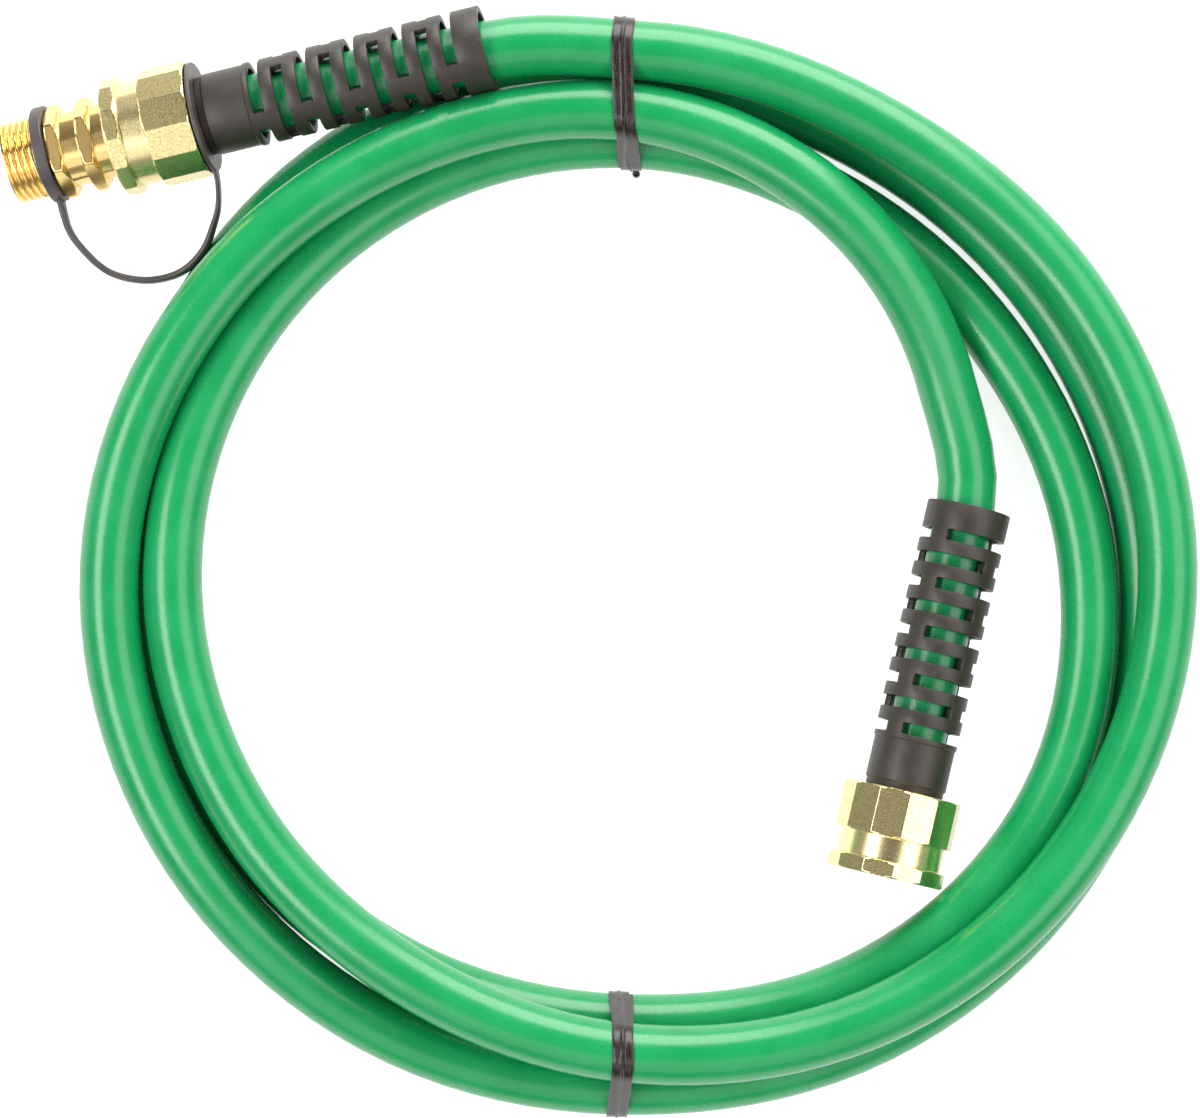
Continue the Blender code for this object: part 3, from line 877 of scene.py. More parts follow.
@dataclass(frozen=True)
class TieVinyl:
    """Glossy dark vinyl with fine wrinkles along the ribbon, darker in the wrinkles as painted
    shade and paler on their crests as painted highlight.

    Attributes:
        colour: the colour in the wrinkles, dark there as painted shade.
        pale: the colour on the crests between them, pale there as painted highlight.
        roughness: the least of its roughness.
        wrinkles: how fine the wrinkles along the ribbon are, across and round.
        creases: how fine the creases across it are, across and round.
        relief: the height of both.
    """

    colour: Colour = (0.006, 0.003, 0.002)
    pale: Colour = (0.034, 0.022, 0.016)
    roughness: float = 0.17
    wrinkles: tuple[float, float] = (9.0, 2.2)
    creases: tuple[float, float] = (3.0, 9.0)
    relief: float = 0.07 * MM

    def make(self) -> bpy.types.Material:
        """Makes the finish, led by the marks across and round.

        Returns:
            The material.
        """
        made, nodes, shader = new_finish("tie_vinyl", IOR=1.45)
        place = nodes.add("ShaderNodeTexCoord").outputs["Object"]
        ribbon = nodes.add("ShaderNodeCombineXYZ", {0: nodes.mark("across"),
                                                    1: nodes.mark("round")}).outputs[0]
        fine = nodes.noise(nodes.stretch(ribbon, (*self.wrinkles, 1.0)), 1.0, 3.0)
        creases = nodes.noise(nodes.stretch(ribbon, (*self.creases, 1.0)), 1.0, 3.0, 0.6)
        grain = Effects.use(nodes, grain_group, {"Vector": place, "Scale": 900.0,
                                                 "Coarse": 260.0})
        # The colour follows the wrinkles' relief: dark in the wrinkles as painted shade, pale on
        # their crests as painted highlight.
        tone = nodes.spread(nodes.math("ADD", fine, nodes.math("MULTIPLY", creases, 0.6)),
                            0.72, 1.0)
        join(nodes, nodes.blend(tone, self.colour, self.pale), shader, "Base Color")
        rough = nodes.spread(grain.outputs["Tone"], 0.0, 1.0, self.roughness,
                             self.roughness + 0.14)
        join(nodes, rough, shader, "Roughness")
        height = nodes.math("ADD", nodes.math("ADD", fine, nodes.math("MULTIPLY", creases, 0.8)),
                            nodes.math("MULTIPLY", grain.outputs["Height"], 0.12))
        bump(nodes, height, shader, 0.9, self.relief)
        return made


@dataclass(frozen=True)
class Brass:
    """Brass: grainy on the milled flats, bright with fine rings where it is turned.

    Attributes:
        name: the material's name.
        colour: the colour of the bright grains.
        shade: the colour of the dull grains.
        milled: the roughness of the flats.
        turned: the roughness of turned faces.
        relief: the height of grain and rings.
        speck: how dark a speck is beside the shade.
        grain: how fine the grain is, fine and coarse.
    """

    name: str
    colour: Colour
    shade: Colour
    milled: float
    turned: float
    relief: float = 0.008 * MM
    speck: float = 0.4
    grain: tuple[float, float] = (2600.0, 1300.0)

    def make(self) -> bpy.types.Material:
        """Makes the finish, led by the marks milled and along.

        Returns:
            The material.
        """
        made, nodes, shader = new_finish(self.name, Metallic=1.0)
        place = nodes.add("ShaderNodeTexCoord").outputs["Object"]
        flat = nodes.mark("milled")
        round_share = nodes.math("SUBTRACT", 1.0, flat)
        grain = Effects.use(nodes, grain_group, {"Vector": place, "Scale": self.grain[0],
                                                 "Coarse": self.grain[1]})
        specks = Effects.use(nodes, marks_group, {"Vector": place, "Scale": 1300.0,
                                                  "Share": 0.3})
        along = nodes.add("ShaderNodeCombineXYZ", {0: nodes.mark("along")}).outputs[0]
        rings = nodes.math("MULTIPLY", nodes.noise(along, 9.0, 4.0, 0.7), round_share)
        tone = nodes.math("MULTIPLY", grain.outputs["Tone"],
                          nodes.spread(flat, 0.0, 1.0, 0.35, 0.9))
        colour = nodes.blend(tone, self.colour, self.shade)
        darker = tuple(self.speck * c for c in self.shade)
        specked = nodes.math("MULTIPLY", specks.outputs["Mask"],
                             nodes.spread(flat, 0.0, 1.0, 0.1, 0.55))
        join(nodes, nodes.blend(specked, colour, darker), shader, "Base Color")
        base = nodes.spread(flat, 0.0, 1.0, self.turned, self.milled)
        rough = nodes.math("ADD", base, nodes.spread(grain.outputs["Height"], 0.3, 0.7,
                                                     -0.03, 0.06))
        join(nodes, rough, shader, "Roughness")
        cast = nodes.math("MULTIPLY", grain.outputs["Height"],
                          nodes.spread(flat, 0.0, 1.0, 0.25, 1.0))
        height = nodes.math("ADD", cast, nodes.math("MULTIPLY", rings, 0.35))
        bump(nodes, height, shader, 0.6, self.relief)
        return made


class Finishes:
    """Every finish of the object, each made once."""

    def __init__(self) -> None:
        """Makes the finishes."""
        self.hose = HoseVinyl().make()
        self.sleeve = Plastic("sleeve_plastic", colour=(0.016, 0.012, 0.008),
                              pale=(0.031, 0.024, 0.017), roughness=0.44).make()
        self.tether = Plastic("tether_rubber", colour=(0.036, 0.030, 0.030),
                              pale=(0.064, 0.055, 0.052), roughness=0.40, grain=700.0).make()
        self.tie = TieVinyl().make()
        self.washer = Plastic("washer_rubber", colour=(0.012, 0.012, 0.012),
                              pale=(0.03, 0.03, 0.03), roughness=0.6).make()
        self.nut = Brass("nut_brass", colour=(0.82, 0.70, 0.37), shade=(0.54, 0.44, 0.18),
                         milled=0.22, turned=0.24).make()
        self.adapter = Brass("adapter_brass", colour=(0.86, 0.62, 0.25),
                             shade=(0.70, 0.46, 0.15), milled=0.18, turned=0.17).make()
        self.inner = Brass("tail_brass", colour=(0.80, 0.60, 0.24), shade=(0.62, 0.44, 0.15),
                           milled=0.3, turned=0.28).make()


# Places


@dataclass(frozen=True)
class Coupling:
    """A coupling's own frame: Z along its axis towards the hose, Y above.

    Attributes:
        prefix: the start of the names of its pieces.
        mouth: the middle of the nut's open mouth.
        axis: the direction from the mouth towards the hose.
        nut_turn: how far the nut is turned about the axis, in degrees.
        sleeve_turn: how far the sleeve is turned, in degrees.
        sleeve_start: where the sleeve starts along the axis.
        lean: how far the hose leans off the axis at the sleeve's open end.
        body: the body of the nut.
    """

    prefix: str
    mouth: Vector
    axis: Vector
    nut_turn: float
    sleeve_turn: float
    sleeve_start: float
    lean: Vector
    body: Body

    @property
    def matrix(self) -> Matrix:
        """The frame's place and turn.

        Returns:
            The matrix from the frame to the world.
        """
        side = UP.cross(self.axis).normalized()
        above = self.axis.cross(side)
        turn = Matrix((side, above, self.axis)).transposed().to_4x4()
        return Matrix.Translation(self.mouth) @ turn

    def place(self, piece: bpy.types.Object, turn: float = 0.0, along: float = 0.0) -> None:
        """Sets a piece on the axis, with its place in its mesh.

        Args:
            piece: the mesh object, modelled about its own Z.
            turn: how far it is turned about the axis, in degrees.
            along: how far it is moved along the axis.
        """
        step = Matrix.Rotation(math.radians(turn), 4, "Z")
        move_mesh(piece, self.matrix @ Matrix.Translation((0.0, 0.0, along)) @ step)
        piece.data.update()

    def point(self, x: float, y: float, along: float) -> Vector:
        """Returns a world place from one in the coupling's frame."""
        return self.matrix @ Vector((x, y, along))


def swivel(name: str) -> tuple[Vector, Vector]:
    """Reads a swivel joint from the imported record.

    Args:
        name: the joint's name.

    Returns:
        Its place and axis.
    """
    joint = next(item for item in frame["joints"] if item["name"] == name)
    return Vector(joint["pos_m"]), Vector(joint["axis"]).normalized()


def make_couplings() -> tuple[Coupling, Coupling]:
    """Sets out both couplings from their swivel joints.

    Returns:
        The adapter end's frame and the far end's.
    """
    near_mouth, near_axis = swivel("adapter_end_nut_swivel")
    far_mouth, far_axis = swivel("far_end_nut_swivel")
    rear_ring = SwivelNut.length + GAP
    near = Coupling("adapter_end", near_mouth, near_axis, nut_turn=8.0, sleeve_turn=124.0,
                    sleeve_start=rear_ring + Tether.rear_ring + GAP,
                    lean=Vector((-1.2 * MM, -0.3 * MM)), body=Body.ADAPTER_END)
    far = Coupling("far_end", far_mouth, far_axis, nut_turn=2.0, sleeve_turn=50.0,
                   sleeve_start=rear_ring, lean=Vector((1.2 * MM, 0.0)), body=Body.FAR_END)
    return near, far


@dataclass(frozen=True)
class InnerPieces:
    """A coupling's hidden washer, tail and ferrule, left as the CAD shapes them.

    Attributes:
        end: the coupling.
    """

    end: Coupling

    def nodes(self) -> list[bpy.types.Object]:
        """Returns the CAD nodes of the washer, the tail and the ferrule."""
        parts = ("washer", "tail", "ferrule")
        return [frame["nodes"][f"{self.end.prefix}_{part}"] for part in parts]

    def dress(self, finishes: Finishes) -> None:
        """Gives each its finish.

        Args:
            finishes: every finish of the object.
        """
        made = (finishes.washer, finishes.inner, finishes.inner)
        for node, finish in zip(self.nodes(), made):
            for slot in node.material_slots:
                slot.material = finish


def hand_in(piece: bpy.types.Object, finish: bpy.types.Material, slot: Slot, body: Body,
            *nodes: str) -> None:
    """Dresses a finished piece and puts it in the frame.

    Args:
        piece: the finished object.
        finish: its material.
        slot: the record's slot that its finish comes from; not used.
        body: the body that it rides on.
        nodes: the CAD nodes that it stands for.
    """
    piece.data.materials.clear()
    piece.data.materials.append(finish)
    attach(piece, body.value)
    if nodes:
        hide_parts(*nodes)
    LOG.info("%s: %d faces", piece.name, len(piece.data.polygons))


# The hose


@dataclass
class Hose:
    """The hollow tube, from one coupling's ferrule round the coil to the other's.

    Attributes:
        radius: the tube's outer radius.
        wall: the tube's wall.
        sides: how many sides its section has.
        start: where it starts in a coupling, from the nut's mouth.
        lead_spans: how many spans its middle line has in a coupling.
        bridge_span: the length of a span between a coupling and the coil.
        middle: the coil's middle.
        route_step: the clock angle between two rows of the route, in degrees.
        point_step: the clock angle between two points of the middle line.
        route: (radius, height) of the middle line at each route step, in millimetres.
    """

    radius: float = 9.7 * MM
    wall: float = 1.8 * MM
    sides: int = 40
    start: float = 21.0 * MM
    lead_spans: int = 8
    bridge_span: float = 8 * MM
    middle: Vector = field(default_factory=lambda: Vector((0.01386, 0.00025, 0.00006)))
    route_step: float = 30.0
    point_step: float = 3.0
    route: tuple = (
        (167.4, 31.6), (163.4, 29.4), (167.7, 29.0), (171.7, 29.2),
        (169.7, 33.3), (165.0, 35.6), (158.6, 30.6), (153.3, 29.6),
        (152.7, 29.2), (152.5, 26.9), (149.9, 19.9), (145.6, 12.4),
        (140.7, 10.9), (136.9, 10.2), (139.5, 10.2), (147.3, 15.0),
        (154.6, 19.0), (154.7, 18.3), (151.0, 11.3), (153.7, 10.0),
        (159.3, 9.8), (165.6, 9.8), (167.9, 9.8), (165.9, 10.2),
        (161.6, 10.9), (158.2, 10.1), (160.8, 9.8), (167.0, 9.8),
        (173.0, 9.8), (173.5, 10.1), (171.5, 10.9), (174.5, 12.0),
        (175.1, 21.9), (172.8, 28.4), (165.3, 32.3), (155.9, 29.7),
        (147.4, 29.6), (132.5, 31.2), (116.6, 17.8),
    )

    def smooth(self, column: int, position: float) -> float:
        """Reads a smooth curve through one column of the route.

        Args:
            column: 0 for the radius, 1 for the height.
            position: how many route steps from the start.

        Returns:
            The value, in millimetres.
        """
        values = [row[column] for row in self.route]
        i = min(max(math.floor(position), 0), len(values) - 2)
        return flow_through(values, i, position - i)

    def coil_point(self, clock: float) -> Vector:
        """Places the middle line on the coil.

        Args:
            clock: the angle clockwise from the top, in degrees, over all turns.

        Returns:
            The middle line's place.
        """
        position = clock / self.route_step
        radius, height = self.smooth(0, position) * MM, self.smooth(1, position) * MM
        angle = math.radians(clock)
        return self.middle + Vector((radius * math.sin(angle), radius * math.cos(angle), height))

    def lead(self, end: Coupling) -> list[Vector]:
        """Places the middle line inside a coupling.

        Args:
            end: the coupling's frame.

        Returns:
            The places, tail end first.
        """
        points = []
        reach = end.sleeve_start + Sleeve.length - self.start
        for i in range(self.lead_spans + 1):
            share = i / self.lead_spans
            off = end.lean * share ** 3
            points.append(end.point(off.x, off.y, self.start + share * reach))
        return points

    def bridge(self, start: Vector, start_way: Vector, end: Vector,
               end_way: Vector) -> list[Vector]:
        """Bends the middle line from a coupling to the coil, or back.

        Args:
            start: where the bend starts.
            start_way: the direction there.
            end: where it ends.
            end_way: the direction there.

        Returns:
            The places between both ends.
        """
        reach = (end - start).length
        points = []
        count = max(int(reach / self.bridge_span), 3)
        for i in range(1, count):
            u = i / count
            points.append((2 * u ** 3 - 3 * u ** 2 + 1) * start
                          + (u ** 3 - 2 * u ** 2 + u) * reach * start_way
                          + (3 * u ** 2 - 2 * u ** 3) * end
                          + (u ** 3 - u ** 2) * reach * end_way)
        return points

    def points(self, near: Coupling, far: Coupling) -> list[Vector]:
        """Places the whole middle line.

        Args:
            near: the adapter end's frame, where the line starts.
            far: the far end's frame, where it ends.

        Returns:
            The places.
        """
        last = self.route_step * (len(self.route) - 1)
        first_lead, last_lead = self.lead(near), self.lead(far)
        coil = [self.coil_point(i * self.point_step)
                for i in range(int(last / self.point_step) + 1)]
        out_way = (first_lead[-1] - first_lead[-2]).normalized()
        in_way = (last_lead[-2] - last_lead[-1]).normalized()
        start_way, end_way = (coil[1] - coil[0]).normalized(), (coil[-1] - coil[-2]).normalized()
        return [*first_lead, *self.bridge(first_lead[-1], out_way, coil[0], start_way), *coil,
                *self.bridge(coil[-1], end_way, last_lead[-1], in_way), *reversed(last_lead)]

    def build(self, points: Sequence[Vector]) -> bpy.types.Object:
        """Models the tube on a curve, turns it into a mesh and gives it its wall.

        Args:
            points: the middle line.

        Returns:
            The tube, with a UV map that runs along it.
        """
        put_down()
        data = bpy.data.curves.new("garden_hose", "CURVE")
        data.dimensions = "3D"
        data.bevel_depth = self.radius
        data.bevel_resolution = (self.sides - 4) // 2
        spline = data.splines.new("POLY")
        spline.points.add(len(points) - 1)
        for point, place in zip(spline.points, points):
            point.co = (*place, 1.0)
        piece = bpy.data.objects.new("garden_hose", data)
        bpy.context.collection.objects.link(piece)
        take(piece)
        bpy.ops.object.convert(target="MESH")
        tidy(piece)
        self.map_tube(piece, points)
        press(piece, "SOLIDIFY", thickness=self.wall, offset=-1.0, use_even_offset=False)
        soften(piece, 50.0)
        return piece

    def map_tube(self, piece: bpy.types.Object, points: Sequence[Vector]) -> None:
        """Gives the tube a UV map: U along it in metres, V round it in turns.

        Args:
            piece: the tube's mesh, a row of sides to each point.
            points: the middle line.
        """
        layers = piece.data.uv_layers
        layer = layers[0] if layers else layers.new()
        layer.name = "tube"
        lengths = [0.0]
        for a, b in zip(points, points[1:]):
            lengths.append(lengths[-1] + (b - a).length)
        sides = self.sides
        for face in piece.data.polygons:
            rows = [piece.data.loops[i].vertex_index for i in face.loop_indices]
            turns = [row % sides / sides for row in rows]
            wrap = max(turns) - min(turns) > 0.5
            for i, row, turn in zip(face.loop_indices, rows, turns):
                along = lengths[min(row // sides, len(lengths) - 1)]
                layer.data[i].uv = (along, turn + (1.0 if wrap and turn < 0.5 else 0.0))

    def dress(self, tube: bpy.types.Object, finishes: Finishes) -> None:
        """Gives the tube its vinyl."""
        hand_in(tube, finishes.hose, Slot.HOSE, Body.HOSE, "hose")

    def declare(self, tube: bpy.types.Object, points: Sequence[Vector],
                pieces: Sequence[bpy.types.Object]) -> None:
        """Args:
            tube: the hose's mesh; not used.
            points: its middle line; not used.
            pieces: what is on it; not used.
        """


# The couplings


@dataclass
class SwivelNut:
    """A brass swivel nut: a grip and a flange of twelve flats, a turned band between.

    Attributes:
        length: its length along the axis.
        corner: the radius to the corners between flats.
        sides: how many flats there are.
        columns: how many columns of faces a flat has.
        shares: where the columns go, as shares from a corner to a flat's middle.
        flange: the length of the flange round the mouth.
        band: the length of the turned band.
        band_radius: the band's radius.
        bevel: the chamfer at the ends of the flats.
        rounding: the radius of the corners between flats.
        ease: the rounding of turned edges.
        band_ease: the rounding at the foot of the band.
        milled_above: how far above the band the milled faces lie, at least.
        socket_depth: the depth of the threaded socket.
        socket_radius: the socket's radius.
        thread_depth: how far the thread stands in from the socket's wall.
        thread_start: where the thread starts, from the mouth.
        thread_stop: how far it stops short of the socket's floor.
        mouth_chamfer: the chamfer round the mouth.
        lip: the thickness of the socket's floor.
        lip_radius: the radius of the hole in that floor.
        back_radius: the radius of the room behind it.
    """

    length: float = 28.6 * MM
    corner: float = 19.4 * MM
    sides: int = 12
    columns: int = 16
    shares: tuple = (0.0, 0.02, 0.045, 0.14, 0.3, 0.47, 0.65, 0.83, 1.0)
    flange: float = 5.1 * MM
    band: float = 7.8 * MM
    band_radius: float = 17.2 * MM
    bevel: float = 0.7 * MM
    rounding: float = 0.7 * MM
    ease: float = 0.22 * MM
    band_ease: float = 0.25 * MM
    milled_above: float = 0.5 * MM
    socket_depth: float = 16.9 * MM
    socket_radius: float = 13.7 * MM
    thread_depth: float = 0.9 * MM
    thread_start: float = 1.5 * MM
    thread_stop: float = 3.2 * MM
    mouth_chamfer: float = 0.9 * MM
    lip: float = 3.5 * MM
    lip_radius: float = 8.8 * MM
    back_radius: float = 11.3 * MM

    def build(self, end: Coupling) -> bpy.types.Object:
        """Models the nut on its coupling.

        Args:
            end: the coupling's frame.

        Returns:
            The nut.
        """
        thread = Thread(self.socket_radius, self.socket_radius - self.thread_depth,
                        self.thread_start, self.socket_depth - self.thread_stop, rows=8)
        outer, band, grip = self.corner, self.band_radius, self.flange + self.band
        rim, lip_top = outer - self.bevel, self.socket_depth + self.lip
        mouth = (self.socket_radius, self.mouth_chamfer)
        ease, band_ease = self.ease, self.band_ease
        outline = eased([
            (rim, self.length, ease), (outer, self.length - self.bevel, ease),
            (outer, grip + self.bevel, ease), (rim, grip, ease),
            (band, grip, band_ease), (band, self.flange, band_ease),
            (rim, self.flange, ease), (outer, self.flange - self.bevel, ease),
            (outer, self.bevel, ease), (rim, 0.0, ease),
            (self.socket_radius + self.mouth_chamfer, 0.0, ease), (*mouth, 0.0),
            (self.socket_radius, self.socket_depth, 0.0),
            (self.lip_radius, self.socket_depth, ease), (self.lip_radius, lip_top, ease),
            (self.back_radius, lip_top, 0.0), (self.back_radius, self.length, ease),
        ])
        piece = turned(end.prefix + "_swivel_nut", spliced(outline, mouth, thread.outline(False)),
                       self.sides * self.columns)
        gather(piece, self.sides, self.shares, lambda radius, _: radius > band + HAIR)
        mill(piece, self.sides, outer * math.cos(math.pi / self.sides), self.rounding,
             0.0, self.length)
        thread.cut(piece)
        mark_faces(piece, "milled", lambda place, normal: abs(normal.z) < 0.5
                   and off_axis(place) > band + self.milled_above)
        mark_height(piece)
        soften(piece, 24.0)
        end.place(piece, end.nut_turn)
        return piece

    def dress(self, nut: bpy.types.Object, end: Coupling, finishes: Finishes) -> None:
        """Gives the nut its brass and lets it turn."""
        hand_in(nut, finishes.nut, Slot.NUT, end.body, end.prefix + "_nut")


@dataclass
class Adapter:
    """The double-male adapter: free thread, two hexagons and turned necks.

    Attributes:
        seat: how deep it is screwed into the nut.
        seat_chamfer: the chamfer on its end in the nut.
        shoulder: the length of the shoulder at the nut's mouth.
        shoulder_radius: the shoulder's radius.
        rear_neck: the length of the neck between shoulder and hexagon.
        hexagon: the length of a hexagon.
        hexagon_radius: the radius that the hexagons are milled from.
        sides: how many flats a hexagon has.
        flats: the distance across its flats.
        corner: the radius of the corners between flats.
        chamfer: the chamfer on a hexagon's ends, along the axis.
        chamfer_slope: how much wider than long that chamfer is.
        mid_neck: the length of the neck between the hexagons.
        neck_radius: the radius of both necks.
        columns: how many columns of faces it has.
        shares: where the columns go, as shares from a corner to a flat's middle.
        milled_above: how far above a neck the milled faces lie, at least.
        free_thread: the length of the free thread.
        thread_chamfer: the chamfer at the thread's inner end.
        tip_chamfer: the chamfer at its free end.
        bore: the radius of the bore.
        mouth: the bore's chamfer at the free end, across and along.
        crest: radius of the thread's crests.
        root: radius of its roots.
        ease: the rounding of turned edges.
        neck_ease: the rounding of necks and hexagons.
        rim_ease: the rounding of chamfered rims.
    """

    seat: float = 11.3 * MM
    seat_chamfer: float = 1.1 * MM
    shoulder: float = 0.9 * MM
    shoulder_radius: float = 14.1 * MM
    rear_neck: float = 4.5 * MM
    hexagon: float = 4.4 * MM
    hexagon_radius: float = 15.5 * MM
    sides: int = 6
    flats: float = 27.2 * MM
    corner: float = 0.5 * MM
    chamfer: float = 0.8 * MM
    chamfer_slope: float = 1.6
    mid_neck: float = 6.1 * MM
    neck_radius: float = 12.4 * MM
    columns: int = 96
    shares: tuple = (0.0, 0.03, 0.07, 0.16, 0.32, 0.49, 0.66, 0.83, 1.0)
    milled_above: float = 0.6 * MM
    free_thread: float = 10.6 * MM
    thread_chamfer: float = 0.6 * MM
    tip_chamfer: float = 0.9 * MM
    bore: float = 8.5 * MM
    mouth: tuple[float, float] = (0.6 * MM, 0.8 * MM)
    crest: float = 13.5 * MM
    root: float = 12.2 * MM
    ease: float = 0.2 * MM
    neck_ease: float = 0.3 * MM
    rim_ease: float = 0.1 * MM

    def build(self, end: Coupling) -> bpy.types.Object:
        """Models the adapter, screwed into the near nut.

        Args:
            end: the coupling's frame.

        Returns:
            The adapter.
        """
        ease, neck = self.ease, self.neck_radius
        neck_1 = -GAP - self.shoulder
        hex_1 = neck_1 - self.rear_neck
        hex_2 = hex_1 - self.hexagon - self.mid_neck
        top = hex_2 - self.hexagon - GAP - Tether.front_ring - GAP
        tip = top - self.free_thread
        thread = Thread(self.crest, self.root, tip, top)
        corners = [
            (self.root, self.seat, ease), (self.crest, self.seat - self.seat_chamfer, ease),
            (self.crest, -GAP, 0.0), (self.shoulder_radius, -GAP, ease),
            (self.shoulder_radius, neck_1, ease), (neck, neck_1, ease),
        ]
        inner = self.hexagon_radius - self.chamfer_slope * self.chamfer
        for start in (hex_1, hex_2):
            stop = start - self.hexagon
            corners += [
                (neck, start, self.neck_ease), (inner, start, self.rim_ease),
                (self.hexagon_radius, start - self.chamfer, self.neck_ease),
                (self.hexagon_radius, stop + self.chamfer, self.neck_ease),
                (inner, stop, self.rim_ease), (neck, stop, self.neck_ease),
            ]
        corners += [
            (neck, top, 0.0), (self.crest - self.tip_chamfer, tip, self.rim_ease),
            (self.bore + self.mouth[0], tip, ease), (self.bore, tip + self.mouth[1], ease),
            (self.bore, self.seat, ease),
        ]
        rows = [(self.crest - self.thread_chamfer, top), *thread.outline(True)]
        piece = turned("double_male_adapter_body", spliced(eased(corners), (neck, top), rows),
                       self.columns)
        gather(piece, self.sides, self.shares,
               lambda radius, z: radius > neck + HAIR and top < z < neck_1)
        for start in (hex_1, hex_2):
            mill(piece, self.sides, self.flats / 2, self.corner, start - self.hexagon - MERGE,
                 start + MERGE)
        thread.cut(piece)
        mark_faces(piece, "milled", lambda place, normal: abs(normal.z) < 0.3
                   and top < place.z < neck_1 and off_axis(place) > neck + self.milled_above)
        mark_height(piece)
        soften(piece, 38.0)
        end.place(piece)
        return piece

    def dress(self, adapter: bpy.types.Object, end: Coupling, finishes: Finishes) -> None:
        """Gives the adapter its brass and lets it turn with the nut."""
        hand_in(adapter, finishes.adapter, Slot.ADAPTER, end.body, "double_male_adapter")


